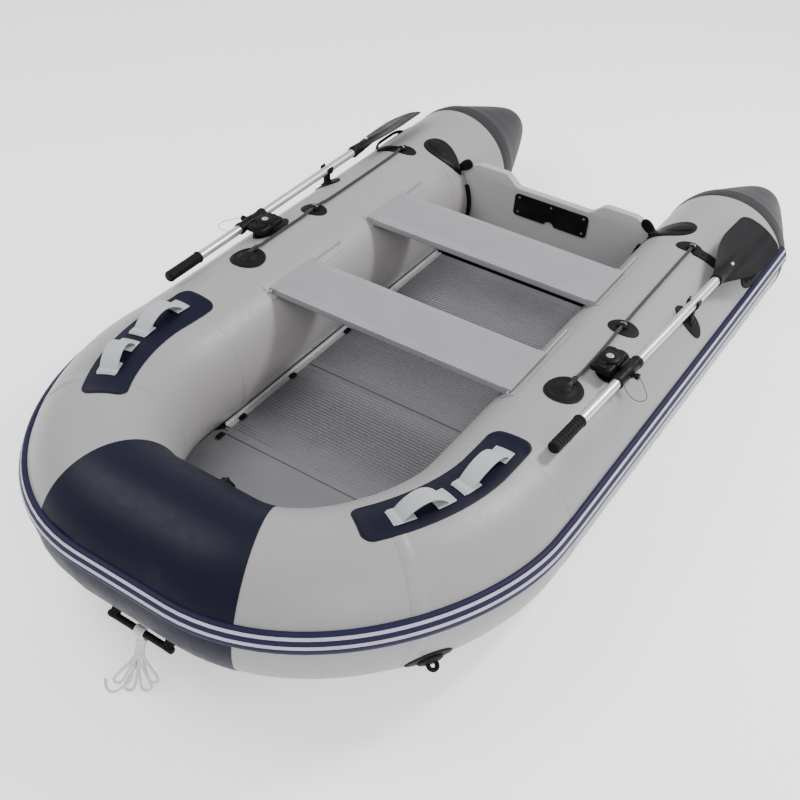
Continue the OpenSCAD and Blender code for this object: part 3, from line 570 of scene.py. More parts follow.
barReach = 0.215
painter = {"radius": 0.0035, "gap": 0.0035, "rounds": 9, "lift": 0.0004,
           "barY": hull["noseY"] - barReach * cos(radians(45)),
           "barZ": hull["tubeR"] + hull["noseRise"] - barReach * sin(radians(45)),
           "barX": -0.013, "pitch": 0.0072, "wrapRadius": 0.0126, "cinch": 0.0128,
           "across": (0.89, 0.45, 0),
           "feet": [(-0.040, 0.88, 0.012), (0.030, 0.96, 0.014), (-0.010, 1.0, 0.013),
                    (0.044, 0.80, 0.013)],
           "tail": [(0.022, -0.070, 0.040), (0.006, -0.092, 0.014), (-0.006, -0.106, 0.0040),
                    (-0.020, -0.110, 0.0034), (-0.036, -0.103, 0.0034), (-0.050, -0.088, 0.0034)]}


def painterPath():
    p = painter
    bar = Vector((0, p["barY"], p["barZ"]))
    across = Vector(p["across"]).normalized()
    top = bar + Vector((0.002, -0.004, -0.032))
    foot = Vector((0.030, p["barY"] - 0.078, 0.004))
    down = (foot - top).normalized()
    depth = across.cross(down).normalized()
    points = []
    for i, (side, reach, half) in enumerate(p["feet"]):
        x = p["barX"] + p["pitch"] * i
        for k in range(9):
            a = radians(200 - 215 * k / 8)
            wrap = (x + p["pitch"] * k / 16, -p["wrapRadius"] * cos(a), p["wrapRadius"] * sin(a))
            points.append(bar + Vector(wrap))
        lane = -0.0062 + 0.0042 * i
        points.append(top + across * lane - depth * 0.0034)
        end = top.lerp(foot, reach) + across * side - down * half
        middle = top.lerp(end - across * side * 0.8, 0.42) + across * lane * 1.1
        points.append(middle + across * 0.002 - depth * 0.0045)
        for k in range(7):
            a = radians(180 * k / 6)
            points.append(end + across * half * cos(a) + down * half * sin(a))
        points.append(middle - across * 0.002 + depth * 0.0045)
        points.append(top + across * (lane + 0.002) + depth * 0.0034)
    for k in range(30):
        a = 2 * pi * k / 12
        drop = 0.0025 * k / 12 - 0.004
        points.append(top + across * p["cinch"] * cos(a) + depth * p["cinch"] * sin(a) + down * drop)
    points += [Vector((x, p["barY"] + y, z)) for x, y, z in p["tail"]]
    return points


def relaxed(path, gap, rounds, floor):
    # even steps along the path, with its sharp turns eased out
    points, left = [path[0].copy()], gap
    for a, b in zip(path, path[1:]):
        run = (b - a).length
        while run > left:
            a = a.lerp(b, left / run)
            points.append(a.copy())
            run, left = (b - a).length, gap
        left -= run
    for _ in range(rounds):
        inner = [(a + 2 * b + c) / 4 for a, b, c in zip(points, points[1:], points[2:])]
        points = [points[0]] + inner + [points[-1]]
    for v in points:
        v.z = max(v.z, floor)
    return points


def addPainter():
    path = relaxed(smoothed(painterPath(), 6), painter["gap"], painter["rounds"],
                   painter["radius"] + painter["lift"])
    measured = sum((b - a).length for a, b in zip(path, path[1:]))
    print("painter is", round(measured, 3), "m long")
    rope = addPiece("painter", ropeMesh(path, painter["radius"], 10), painterBraid,
                    instead=("painter_rope", "painter_hank"), sharp=80)
    tuple(path[0])
    [tuple(v) for v in path]


addPainter()
print("painter made")

# buoyancy tubes

tubes = {"sides": 80, "straightStep": 0.06, "bendStep": 0.022, "overlap": 0.014, "pucker": 0.0007,
         "tapeHalf": 0.017, "tapeThick": 0.0007,
         "puckerPitch": 0.052, "swell": ((2.1, 0.0014), (6.0, 0.0006)), "noseLift": 0.0014}
seamRun = runAt(hull["seamShare"])
sternRun = runOf(hull["coneY"])


def stations(start, end):
    marks = [start]
    while marks[-1] < end - 1e-6:
        s = marks[-1]
        inBend = -0.06 < s < bendLength + 0.02
        marks.append(min(end, s + (tubes["bendStep"] if inBend else tubes["straightStep"])))
    return marks


def tubeRing(s, off=0.0):
    ring = []
    for k in range(tubes["sides"]):
        angle = 360 * k / tubes["sides"]
        p = onHull(s, angle, off)
        inside = max(0.0, -cos(radians(angle)))
        bent = max(0.0, min(1.0, (s + 0.02) / 0.1)) * max(0.0, min(1.0, (bendLength - s + 0.06) / 0.1))
        even = Vector((abs(p.x), p.y, p.z))
        # the inside of the bend gathers into small puckers
        ripple = s * 2 * pi / tubes["puckerPitch"] + 3 * noise.noise(even * 9)
        gather = sin(ripple) * inside ** 1.5 * bent
        swell = sum(noise.noise(even * scale) * height for scale, height in tubes["swell"])
        upper = 1 - max(0.0, -sin(radians(angle))) ** 4
        ring.append(onHull(s, angle, off + swell * upper + gather * tubes["pucker"]))
    return ring


def sideTube():
    return loft([tubeRing(s) for s in stations(sternRun, seamRun + 0.01)])


def noseTube():
    lap = tubes["overlap"]
    runs = stations(seamRun - lap, 2 * halfRun - seamRun + lap)
    rings = [tubeRing(runs[0])] + [tubeRing(s, tubes["noseLift"]) for s in runs] + [tubeRing(runs[-1])]
    return loft(rings)


def seamTape(s, half, thick):
    return loft([tubeRing(s - half - 0.0005, 0.0001), tubeRing(s - half, thick), tubeRing(s, thick),
                 tubeRing(s + half, thick), tubeRing(s + half + 0.0005, 0.0001)])


def addTubes():
    t = tubes
    for side, name in ((1, "port"), (-1, "starboard")):
        bm = sideTube()
        if side < 0:
            mirrored(bm)
        addPiece(name + "TubeSkin", bm, greyFabric, sharp=60,
                 instead=(name + "_side_tube", name + "_bow_tube"))
    addPiece("noseSkin", noseTube(), navyFabric, instead=("bow_tube",), sharp=50)
    marks = [runOf(-0.552), runAt(0.47), runOf(0.62)]
    addPiece("seamTapes",
             bothSides(lambda: joined(*[seamTape(s, t["tapeHalf"], t["tapeThick"]) for s in marks])),
             greyFabric, sharp=50)


addTubes()
print("tubes made")

# stern cones

cone = {"flange": 0.024, "flangeThick": 0.0016,
        "shape": [(0.2100, 0), (0.2045, 0.03), (0.1900, 0.066), (0.1690, 0.124), (0.1460, 0.186),
                  (0.1220, 0.250), (0.0980, 0.310), (0.0800, 0.350), (0.0620, 0.378), (0.0420, 0.395),
                  (0.0200, 0.4035), (0.0, 0.4055)]}


def sternCone():
    outer = [(p.x, p.y) for p in smoothed([(r, z, 0) for r, z in cone["shape"]], 4)]
    lap = [(0.2098, -cone["flange"]), (0.2108 + cone["flangeThick"] * 0.4, -cone["flange"] + 0.0004),
           (0.2100 + cone["flangeThick"], -cone["flange"] + 0.002),
           (0.2100 + cone["flangeThick"], 0.004), (0.2104, 0.0075)]
    profile = lap + [(r, z + 0.009) for r, z in outer if z < 0.392]
    profile += [(r, z) for r, z in outer if z > 0.4]
    matrix = moved(hull["tubeX"], hull["coneY"], hull["tubeR"]) @ turnedBy(-90, "X")
    return turned(profile, matrix, 72)


addPiece("coneSkins", bothSides(sternCone), conePlastic, instead=("stern_cones",),
         sharp=40)
print("cones made")

# rub rail

rail = {"angle": 15.6, "half": 8.46, "height": 0.0128, "points": 16, "endY": 0.985, "stripe": 3.0,
        "stripeLift": 1.8, "stripeHalf": 1.15, "stripeThick": 0.0012}


def railRuns():
    start = runOf(rail["endY"])
    half = stations(start, halfRun)
    return half + [2 * halfRun - s for s in reversed(half[:-1])]


def railHeight(q):
    return 0.0014 + rail["height"] * max(0.0, 1 - abs(q) ** 3) ** 0.55


def railSection(s, share=1.0):
    n = rail["points"]
    over = [onHull(s, rail["angle"] + rail["half"] * (2 * k / n - 1),
                   0.0006 + railHeight(2 * k / n - 1) * share)
            for k in range(n + 1)]
    under = [onHull(s, rail["angle"] + rail["half"] * q, 0.0004) for q in (1, 0.5, 0, -0.5, -1)]
    return over + under


def railBody():
    runs = railRuns()
    rings = [railSection(runs[0] - 0.006, 0.25), railSection(runs[0] - 0.004, 0.7)]
    rings += [railSection(s) for s in runs]
    last = runs[-1]
    rings += [railSection(last + 0.004, 0.7), railSection(last + 0.006, 0.25)]
    return loft(rings)


def railStripe(middle):
    def section(s):
        h = rail["stripeHalf"]
        low = railHeight((middle - rail["angle"]) / rail["half"])
        high = low + 0.0006 + rail["stripeThick"]
        top = [onHull(s, middle + h * q, high - 0.0004 * abs(q) ** 3) for q in (-1, -0.8, 0, 0.8, 1)]
        return top + [onHull(s, middle + h, low), onHull(s, middle - h, low)]
    return loft([section(s) for s in railRuns()])


addPiece("railSkin", railBody(), railRubber, instead=("rub_rail",), sharp=40)
addPiece("railStripes",
         joined(*[railStripe(rail["angle"] + rail["stripeLift"] + k * rail["stripe"])
                  for k in (-1, 1)]), stripeRubber, instead=("rail_stripes",),
         sharp=30)
print("rub rail made")

# hull bottom

bottom = {"angle": -125, "turn": 25, "low": 0.014, "edgeZ": 0.0388, "sternY": 0.738, "thick": 0.0016,
          "points": 12}


def bottomRing(s):
    share = bowShare(hullFrame(s)[0].y)
    edge = onHull(s, bottom["angle"] + bottom["turn"] * share ** 1.5, -0.001)
    sink = (1 - share * share) * (bottom["edgeZ"] - bottom["low"])
    n = bottom["points"]
    line = []
    for k in range(2 * n + 1):
        q = 1 - k / n
        # flat sides that turn softly over the keel
        dip = (1 - abs(q)) - 0.06 * exp(-(q * q) / 0.01)
        line.append(Vector((edge.x * q, edge.y, edge.z - sink * max(0.0, dip))))
    up = Vector((0, 0, bottom["thick"]))
    return [p + up for p in line] + list(reversed(line))


def addBottom():
    end = runAt(0.98)
    runs = [runOf(bottom["sternY"]) + (end - runOf(bottom["sternY"])) * k / 44 for k in range(45)]
    floor = addPiece("bottomSkin", loft([bottomRing(s) for s in runs]), innerFabric,
                     instead=("hull_bottom",), sharp=50)
    area = sum(face.area for face in floor.data.polygons) / 2
    print("hull bottom area", round(area, 3))


addBottom()
print("hull bottom made")

# transom

transom = {"footY": 0.688, "rake": 4, "thick": 0.030, "top": 0.386, "notchHalf": 0.130,
           "notchDrop": 0.038, "gap": 0.0006, "bracketY": 0.696, "bracketAngle": 137, "tipTurn": 38}


def onBoard(p, q, h):
    # p across, q up the board, h off its inner face into the cockpit
    rake = radians(transom["rake"])
    return Vector((p, transom["footY"] + q * sin(rake) - h * cos(rake), q * cos(rake) + h * sin(rake)))


def easeCurve(a, b, n):
    return [(a[0] + (b[0] - a[0]) * k / n, a[1] + (b[1] - a[1]) * (3 * (k / n) ** 2 - 2 * (k / n) ** 3))
            for k in range(n + 1)]


def boardOutline():
    t = transom
    reach = hull["tubeR"] + t["gap"]
    side = []
    for k in range(25):
        a = radians(-128 - (222 - 128 + 0.5) * k / 24)
        up = (hull["tubeR"] + reach * sin(a)) / cos(radians(t["rake"]))
        side.append((hull["tubeX"] + reach * cos(a), up))
    last = side[-1]
    side += easeCurve((last[0] - 0.006, last[1] + 0.003), (0.292, t["top"]), 12)
    side += easeCurve((0.196, t["top"]), (t["notchHalf"], t["top"] - t["notchDrop"]), 12)
    return side + [(-x, y) for x, y in reversed(side)]


def transomBoard():
    bm = bmesh.new()
    face = bm.faces.new([bm.verts.new(onBoard(x, y, 0)) for x, y in boardOutline()])
    back = bmesh.ops.extrude_face_region(bm, geom=[face])["geom"]
    move = onBoard(0, 0, -transom["thick"]) - onBoard(0, 0, 0)
    bmesh.ops.translate(bm, vec=move, verts=[g for g in back if isinstance(g, bmesh.types.BMVert)])
    bmesh.ops.holes_fill(bm, edges=[e for e in bm.edges if e.is_boundary], sides=0)
    bmesh.ops.recalc_face_normals(bm, faces=bm.faces)
    rim = [e for e in bm.edges if any(len(f.verts) > 20 for f in e.link_faces)]
    bmesh.ops.bevel(bm, geom=rim, offset=0.0035, segments=3, affect="EDGES", profile=0.5, material=-1)
    return bm


addPiece("boardSkin", transomBoard(), boardPaint, instead=("transom_board",), sharp=32)


def bracketLobe():
    points = []
    for k in range(48):
        a = 2 * pi * k / 48
        wide = 0.045 + 0.028 * cos(a)
        points.append((wide * sin(a), -(0.062 + 0.090 * cos(a))))
    return points


def transomBracket():
    s = runOf(transom["bracketY"])
    place = onSide(s, transom["bracketAngle"])
    big = stack(bracketLobe(), padLevels(0.0042, 0.004), place)
    raised = stack(oval(0.026, 0.046), padLevels(0.0035, 0.002, 0.003),
                   lambda p, q, h: place(p, q - 0.095, h + 0.004))
    tip = []
    lean = radians(transom["tipTurn"])
    for k in range(40):
        a = 2 * pi * k / 40
        x, y = 0.020 + 0.037 * cos(a), (0.017 + 0.008 * cos(a)) * sin(a)
        tip.append((x * cos(lean) + y * sin(lean), y * cos(lean) - x * sin(lean)))
    small = stack([(-x, y) for x, y in tip], padLevels(0.0065, 0.002),
                  lambda p, q, h: onBoard(0.372 + p, 0.352 - q, h))
    knuckle = turned([(0, 0.016), (0.006, 0.0158), (0.012, 0.0135), (0.0155, 0.009), (0.016, 0.002),
                      (0, 0.001)], hullMatrix(s, transom["bracketAngle"], 0.001))
    return joined(big, raised, small, knuckle)


addPiece("bracketSkins", bothSides(transomBracket), blackPlastic,
         instead=("transom_brackets",))
print("transom made")

# benches

bench = {"front": -0.225, "rear": 0.282, "width": 0.204, "top": 0.391, "thick": 0.024, "half": 0.383,
         "edge": 0.0045, "rib": 0.0007, "ribs": (-0.088, -0.080, 0.080, 0.088)}


def benchSection(y):
    b = bench
    half = b["width"] / 2
    points = []
    for cy, cz, start in ((half, b["top"], 0), (-half, b["top"], 90),
                          (-half, b["top"] - b["thick"], 180), (half, b["top"] - b["thick"], 270)):
        middleY = cy - b["edge"] * (1 if cy > 0 else -1)
        middleZ = cz - b["edge"] * (1 if start < 180 else -1)
        points += [(middleY + b["edge"] * cos(radians(start + 15 * k)),
                    middleZ + b["edge"] * sin(radians(start + 15 * k)))
                   for k in range(7)]
        if start == 0:
            # fine drawn ribs near both edges of the seat
            for ribY in sorted(b["ribs"], reverse=True):
                points += [(ribY + 0.0022, b["top"]), (ribY + 0.0014, b["top"] - b["rib"]),
                           (ribY - 0.0014, b["top"] - b["rib"]), (ribY - 0.0022, b["top"])]
    return [(y + p, q) for p, q in points]


def benchPlank(y):
    section = benchSection(y)
    return loft([[Vector((x, p, q)) for p, q in section] for x in (-bench["half"], bench["half"])])


for name in ("front", "rear"):
    addPiece(name + "Plank", benchPlank(bench[name]), benchMetal,
             body=name + "_bench", instead=(name + "_bench",), sharp=28)
print("benches made")

# webbing handles on their patches

grab = {"angle": 91, "patchAngle": 94, "half": 0.062, "corner": 0.030, "from": -0.46, "to": 0.575,
        "thick": 0.0022, "loops": ((-0.21, 0.22), (0.255, 0.475)), "strap": 0.024, "strapThick": 0.0022,
        "rise": 0.036}


def grabPatch():
    start, end = runAt(grab["from"]), runAt(grab["to"])
    outline = roundRect((end - start) / 2, grab["half"], grab["corner"], 8, 14)
    levels = [(share, 0.0004) for share in (0.02, 0.25, 0.5, 0.75, 0.9, 1)]
    levels += [(1, 0.0012), (0.994, 0.0019), (0.985, 0.0023), (0.955, 0.0023), (0.95, 0.0018)]
    levels += [(share, 0.0018) for share in (0.85, 0.7, 0.5, 0.3, 0.1, 0.02)]
    return stack(outline, levels, onSide((start + end) / 2, grab["patchAngle"]))


def strapRing(s, half, low, thick):
    radius = hullFrame(s)[3]
    turn = degrees(half / radius)
    top = [onHull(s, grab["angle"] + turn * q, low + thick - 0.0006 * abs(q) ** 6)
           for q in (-1, -0.92, -0.5, 0, 0.5, 0.92, 1)]
    under = [onHull(s, grab["angle"] + turn * q, low) for q in (1, 0.5, 0, -0.5, -1)]
    return top + under


def grabLoop(start, end):
    a, b = runAt(start), runAt(end)
    rings = []
    n = 40
    for k in range(n + 1):
        t = k / n
        lift = sin(pi * max(0.0, min(1.0, (t - 0.13) / 0.74)))
        low = 0.0026 + grab["rise"] * lift ** 0.75
        half = grab["strap"] - 0.003 * sin(pi * t)
        rings.append(strapRing(a + (b - a) * t, half, low, grab["strapThick"]))
    feet = []
    reach = degrees(grab["strap"] / 0.205)
    for s in (a + 0.030, b - 0.030):
        # a second layer sewn over each foot
        feet.append(loft([strapRing(s + x, grab["strap"] + 0.002, 0.0046, 0.0016) for x in
                          (-0.028, -0.027, -0.012, 0, 0.012, 0.024, 0.025)]))
        for x in (-0.023, 0.019):
            stitch = [onHull(s + x, grab["angle"] + reach * q, 0.0064)
                      for q in (-0.9, -0.6, -0.3, 0, 0.3, 0.6, 0.9)]
            feet.append(ropeMesh(stitch, 0.0006, 6))
    return joined(loft(rings), *feet)


addPiece("grabPatches", bothSides(grabPatch), navyFabric, instead=("handle_patches",),
         sharp=40)
addPiece("grabLoops", bothSides(lambda: joined(*[grabLoop(*pair) for pair in grab["loops"]])), webbing,
         instead=("webbing_handles",), sharp=35)
print("webbing handles made")

# lifelines and their eyes

line = {"x": 0.5424, "radius": 0.005, "discY": -0.275, "midY": 0.073, "aftY": 0.590,
        "armY": 0.577, "armAngle": 72.8, "blockAngle": 87, "blockBack": 0.006}


def lineHeight():
    return hull["tubeR"] + sqrt(hull["tubeR"] ** 2 - (line["x"] + 0.001 - hull["tubeX"]) ** 2) + 0.0046


def ropeBlock(y):
    # a bevelled saddle over the rope with a steel keeper
    matrix = hullMatrix(runOf(y), line["blockAngle"], 0.0078)
    saddle = block((0.026, 0.026, 0.0125), 0.0045, matrix)
    keeperPlace = hullMatrix(runOf(y), line["blockAngle"], 0.0042)
    return joined(saddle, block((0.034, 0.012, 0.0042), 0.0015, keeperPlace))


def keeper(y):
    matrix = hullMatrix(runOf(y), line["blockAngle"], 0.0125)
    arc = [matrix @ Vector((0.0105 * cos(a), 0.0015, 0.0035 + 0.0068 * sin(a) - 0.006))
           for a in [pi * k / 16 for k in range(17)]]
    return ropeMesh(arc, 0.0011, 8)


def lifelineEyes():
    disc = stack(oval(0.056, 0.054, 56),
                 [(0.02, 0.0004), (0.5, 0.0004), (1, 0.0004), (1, 0.0018), (0.985, 0.0027),
                  (0.96, 0.0031), (0.87, 0.0031), (0.855, 0.0042), (0.83, 0.0050), (0.79, 0.0050),
                  (0.72, 0.0036), (0.60, 0.0034), (0.48, 0.0050), (0.38, 0.0086), (0.32, 0.0108),
                  (0.26, 0.0118), (0.14, 0.0122), (0.02, 0.0122)], onSide(runOf(line["discY"]), 89))
    mid = stack(oval(0.035, 0.047), padLevels(0.003, 0.0006), onSide(runOf(line["midY"]), 86))
    aft = stack(oval(0.029, 0.043), padLevels(0.003, 0.0006), onSide(runOf(line["aftY"]), 90))
    arm = stack(roundRect(0.021, 0.045, 0.014), padLevels(0.0055, 0.0008),
                onSide(runOf(line["armY"]), line["armAngle"]))
    studs = [turned([(0, 0.0035), (0.003, 0.0032), (0.0045, 0.0018), (0.0045, 0)],
                    hullMatrix(runOf(line["armY"]), 68 + k * 8, 0.0058)) for k in (-1, 1)]
    return joined(disc, mid, aft, arm, ropeBlock(line["midY"]),
                  ropeBlock(line["aftY"] - line["blockBack"]), *studs)


def lifeline():
    z = lineHeight()
    x = line["x"]
    up = z + 0.0034
    route = [(x + 0.001, -0.262, up), (x + 0.001, -0.214, up), (x + 0.001, -0.196, z + 0.001),
             (x + 0.002, -0.170, z), (x + 0.002, -0.040, z), (x + 0.001, 0.016, z + 0.001),
             (x + 0.001, 0.035, up), (x + 0.001, 0.111, up), (x, 0.130, z + 0.001),
             (x - 0.001, 0.200, z), (x - 0.001, 0.460, z), (x, 0.540, z + 0.001),
             (x + 0.001, 0.558, up), (x + 0.001, 0.604, up)]
    path = smoothed(route, 8)
    knot = [Vector((x + 0.001 + 0.0065 * sin(a), -0.243 + 0.0016 * a, z + 0.0040 + 0.0052 * cos(a)))
            for a in [2 * pi * k / 12 for k in range(27)]]
    return joined(ropeMesh(path, line["radius"], 12), ropeMesh(smoothed(knot, 2), 0.0026, 8))


addPiece("eyeSkins", bothSides(lifelineEyes), blackRubber, instead=("lifeline_eyes",))
addPiece("eyeKeepers",
         bothSides(lambda: joined(keeper(line["midY"]), keeper(line["aftY"] - line["blockBack"]))),
         steel)
addPiece("lifelineRopes", bothSides(lifeline), lifelineBraid, instead=("lifelines",),
         sharp=80)
print("lifelines made")

# rowlocks

pivot = {"x": 0.590, "y": -0.122, "z": 0.434, "shaft": 0.056, "port": 3, "starboard": 1,
         "padAngle": 73}


def atPivot(name):
    return moved(pivot["x"], pivot["y"], pivot["z"]) @ turnedBy(-pivot[name], "Z")


def rowlockBase():
    s = runOf(pivot["y"] + 0.030)
    onPad = onSide(s, pivot["padAngle"])
    pad = stack(oval(0.076, 0.044, 56), padLevels(0.0031, 0.0), onPad)
    rim = stack(oval(0.060, 0.032, 48), padLevels(0.0022, 0.0006, 0.001),
                lambda p, q, h: onPad(p, q, h + 0.0022))
    post = turned([(0.040, -0.0265), (0.034, -0.0235), (0.0285, -0.0195), (0.0255, -0.015),
                   (0.024, -0.0115), (0.0235, -0.0104), (0.012, -0.0102), (0.0080, -0.010),
                   (0.0080, 0.0195), (0.0070, 0.0205), (0, 0.0205)],
                  moved(pivot["x"], pivot["y"], pivot["z"]), 48)
    return joined(pad, rim, post)


def swivelBody(name):
    # the lobed block that turns on the post, with the ear that holds the oar's pin
    parts = [block((0.064, 0.110, 0.023), 0.0095, moved(0, 0, 0.0097), 5),
             turned([(0.0246, -0.0085), (0.0285, -0.0085), (0.0300, -0.007), (0.0302, 0.020),
                     (0.0285, 0.0262), (0.024, 0.0285), (0.0085, 0.0288), (0.0085, 0.026), (0, 0.026)],
                    Matrix(), 48),
             turned([(0.019, 0.018), (0.019, 0.0245), (0.0175, 0.0272), (0.014, 0.0282),
                     (0.006, 0.0272), (0, 0.0270)], moved(-0.008, 0.026, 0), 36),
             turned([(0.016, 0.016), (0.016, 0.0225), (0.0145, 0.0255), (0.011, 0.0262), (0, 0.0255)],
                    moved(-0.008, -0.030, 0), 36),
             block((0.0085, 0.036, 0.035), 0.0028, moved(0.0297, 0, 0.0058)),
             block((0.012, 0.020, 0.026), 0.0035, moved(0.0245, 0.017, 0.008)),
             block((0.030, 0.014, 0.0045), 0.0018, moved(-0.002, -0.047, 0.0224)),
             block((0.006, 0.050, 0.005), 0.002, moved(-0.025, 0, 0.0225))]
    bm = joined(*parts)
    bmesh.ops.transform(bm, matrix=atPivot(name), verts=bm.verts)
    return bm


def swivelNut(name):
    bm = joined(turned([(0.0068, 0.026), (0.0068, 0.0312), (0.0058, 0.0322), (0, 0.0322)], Matrix(), 6),
                turned([(0.0105, 0.0255), (0.0105, 0.0292), (0.0095, 0.0296), (0, 0.0296)], Matrix(),
                       32))
    bmesh.ops.transform(bm, matrix=atPivot(name), verts=bm.verts)
    return bm


addPiece("rowlockBases", bothSides(rowlockBase), blackRubber,
         instead=("rowlock_bases",))
print("rowlocks made")

# oars

oar = {"gripY": -0.390, "gripLength": 0.138, "gripR": 0.0175, "bladeY": 0.566, "bladeLength": 0.372,
       "bladeHalf": 0.081, "corner": 0.055, "roll": 28, "collarHalf": 0.061, "collarR": 0.019,
       "rivetY": 0.660}


def alongOar(y):
    # local Z runs along the shaft towards the blade
    return moved(pivot["shaft"], y, 0) @ turnedBy(-90, "X")


def oarGrip():
    g = oar
    profile = [(0, 0), (0.011, 0.0002), (0.0148, 0.0018), (0.0168, 0.0048), (0.0174, 0.009),
               (0.0174, 0.013), (0.0160, 0.0165)]
    for k in range(9):
        y = 0.020 + 0.012 * k
        profile += [(0.0157, y - 0.001), (0.0168, y + 0.0004), (g["gripR"], y + 0.003),
                    (0.0168, y + 0.0066), (0.0157, y + 0.008)]
    end = g["gripLength"]
    profile += [(0.0165, end - 0.009), (0.0185, end - 0.006), (0.0187, end - 0.003),
                (0.0178, end - 0.0006), (0.0141, end)]
    return turned(profile, alongOar(g["gripY"]), 36)


def bladeHalf(y):
    # half the blade's width along its length
    share = y / oar["bladeLength"]
    wide = 0.018 + (oar["bladeHalf"] - 0.018) * sin(min(1.0, share / 0.60) * pi / 2) ** 1.25
    rest = oar["bladeLength"] - y
    corner = oar["corner"]
    if rest < corner:
        wide -= (corner - sqrt(max(0.0, corner ** 2 - (corner - rest) ** 2))) * 0.97
    return wide


def bladeRing(y):
    half = bladeHalf(y)
    share = y / oar["bladeLength"]
    neck = max(0.0, 1 - share / 0.62)
    ring = []
    n = 20
    for face in (1, -1):
        for k in range(n + (1 if face > 0 else -1)):
            q = 1 - 2 * k / n if face > 0 else -1 + 2 * (k + 1) / n
            x = half * q
            core = (0.0165 * neck + 0.0022) * exp(-(x / (0.0135 + 0.003 * share)) ** 2)
            rib = 0.0011 * exp(-((abs(x) - 0.62 * half) / 0.004) ** 2) * min(1.0, share * 3)
            edge = 0.0023 * (1 - 0.72 * abs(q) ** 8)
            ring.append(Vector((x, y, face * (edge + core + rib))))
    return ring


def oarBlade():
    length = oar["bladeLength"]
    marks = [length * k / 44 for k in range(41)]
    marks += [marks[-1] + (length - marks[-1]) * t for t in (0.25, 0.5, 0.7, 0.85, 0.94, 0.985, 0.9999)]
    bm = loft([bladeRing(y) for y in marks])
    collar = turned([(0.0142, -0.004), (0.0172, -0.004), (0.0188, -0.002), (0.0188, 0.010),
                     (0.0176, 0.013), (0.0176, 0.05)], turnedBy(-90, "X"), 36)
    whole = joined(bm, collar)
    matrix = moved(pivot["shaft"], oar["bladeY"], 0) @ turnedBy(oar["roll"], "Y")
    bmesh.ops.transform(whole, matrix=matrix, verts=whole.verts)
    return whole


def oarCollar():
    half = oar["collarHalf"]
    r = oar["collarR"]
    profile = [(0.0141, -half), (r - 0.001, -half), (r, -half + 0.0015), (r, -half + 0.0125),
               (r - 0.0018, -half + 0.015), (r - 0.0022, -0.018), (r - 0.0008, -0.014), (r - 0.0004, 0),
               (r - 0.0008, 0.014), (r - 0.0022, 0.018), (r - 0.0018, half - 0.015), (r, half - 0.0125),
               (r, half - 0.0015), (r - 0.001, half), (0.0141, half)]
    boss = [(0, 0.0215), (0.0085, 0.0215), (0.0105, 0.0198), (0.011, 0.014), (0.011, 0)]
    middle = moved(pivot["shaft"], 0, 0)
    return joined(turned(profile, alongOar(0), 40), turned(boss, middle @ turnedBy(90, "Y"), 28),
                  turned(boss, middle @ turnedBy(-90, "Y") @ moved(0, 0, -0.001), 28))


def rivet():
    matrix = moved(pivot["shaft"], oar["rivetY"], 0) @ turnedBy(oar["roll"], "Y")
    head = [(0, 0.0215), (0.0025, 0.0212), (0.0045, 0.0200), (0.0052, 0.0185), (0.0052, 0.010)]
    return turned(head, matrix, 20)


def addOar(name):
    side = 1 if name == "port" else -1

    def placed(bm):
        bmesh.ops.transform(bm, matrix=atPivot(name), verts=bm.verts)
        return bm if side > 0 else mirrored(bm)

    body = name + "_oar"
    addPiece(name + "Grip", placed(oarGrip()), blackRubber, body,
             (name + "_oar_grip",), 30)
    addPiece(name + "Blade", placed(oarBlade()), blackPlastic, body,
             (name + "_oar_blade",), 40)
    addPiece(name + "Collar", placed(oarCollar()), blackPlastic, body,
             (name + "_oar_collar",), 30)
    addPiece(name + "Rivet", placed(rivet()), steel, body)
    swivel = swivelBody(name)
    nut = swivelNut(name)
    if side < 0:
        mirrored(swivel)
        mirrored(nut)
    addPiece(name + "SwivelSkin", swivel, blackPlastic, name + "_swivel",
             (name + "_swivel",), 32)
    addPiece(name + "SwivelNut", nut, steel, name + "_swivel", (), 25)


for name in ("port", "starboard"):
    addOar(name)
print("oars made")

# oar clips

clip = {"along": 0.412, "inner": 0.0148, "thick": 0.0042, "wide": 0.026, "from": 138, "to": 402}


def oarClip(name):
    yaw = radians(pivot[name])
    x = pivot["x"] + pivot["shaft"] * cos(yaw) + clip["along"] * sin(yaw)
    y = pivot["y"] + clip["along"] * cos(yaw) - pivot["shaft"] * sin(yaw)
    angle = degrees(acos((x - hull["tubeX"]) / hull["tubeR"]))
    pad = stack(oval(0.034, 0.058), padLevels(0.0032, 0.0006), onSide(runOf(y), angle))
    rings = []
    for k in range(29):
        # a horn that curls round the shaft and flares at both tips
        a = radians(clip["from"] + (clip["to"] - clip["from"]) * k / 28)
        flare = 0.004 * (abs(k - 14) / 14) ** 6
        low, high = clip["inner"] + flare, clip["inner"] + clip["thick"] + flare
        half = clip["wide"] / 2 * (1 - 0.12 * (abs(k - 14) / 14) ** 2)
        ring = []
        for r, w in ((low, half), (high - 0.001, half), (high, half - 0.001), (high, 0.001 - half),
                     (high - 0.001, -half), (low, -half)):
            ring.append(Vector((x + r * cos(a), y + w, pivot["z"] + r * sin(a))))
        rings.append(ring)
    foot = hull["tubeR"] + sqrt(hull["tubeR"] ** 2 - (x - hull["tubeX"]) ** 2)
    tall = pivot["z"] - 0.0165 - foot
    stem = block((0.017, 0.021, tall + 0.006), 0.003, moved(x, y, foot + tall / 2))
    knob = block((0.030, 0.030, 0.006), 0.0025, hullMatrix(runOf(y), angle, 0.005))
    return joined(pad, loft(rings), stem, knob)


addPiece("clipSkins", joined(oarClip("port"), mirrored(oarClip("starboard"))), blackRubber,
         instead=("oar_clips",))
print("oar clips made")

# stern handles, tow eyes and the bow handle

sternHandle = {"y": 0.768, "angle": 33, "half": 0.138, "wide": 0.040, "rise": 0.0225, "reach": 0.086}


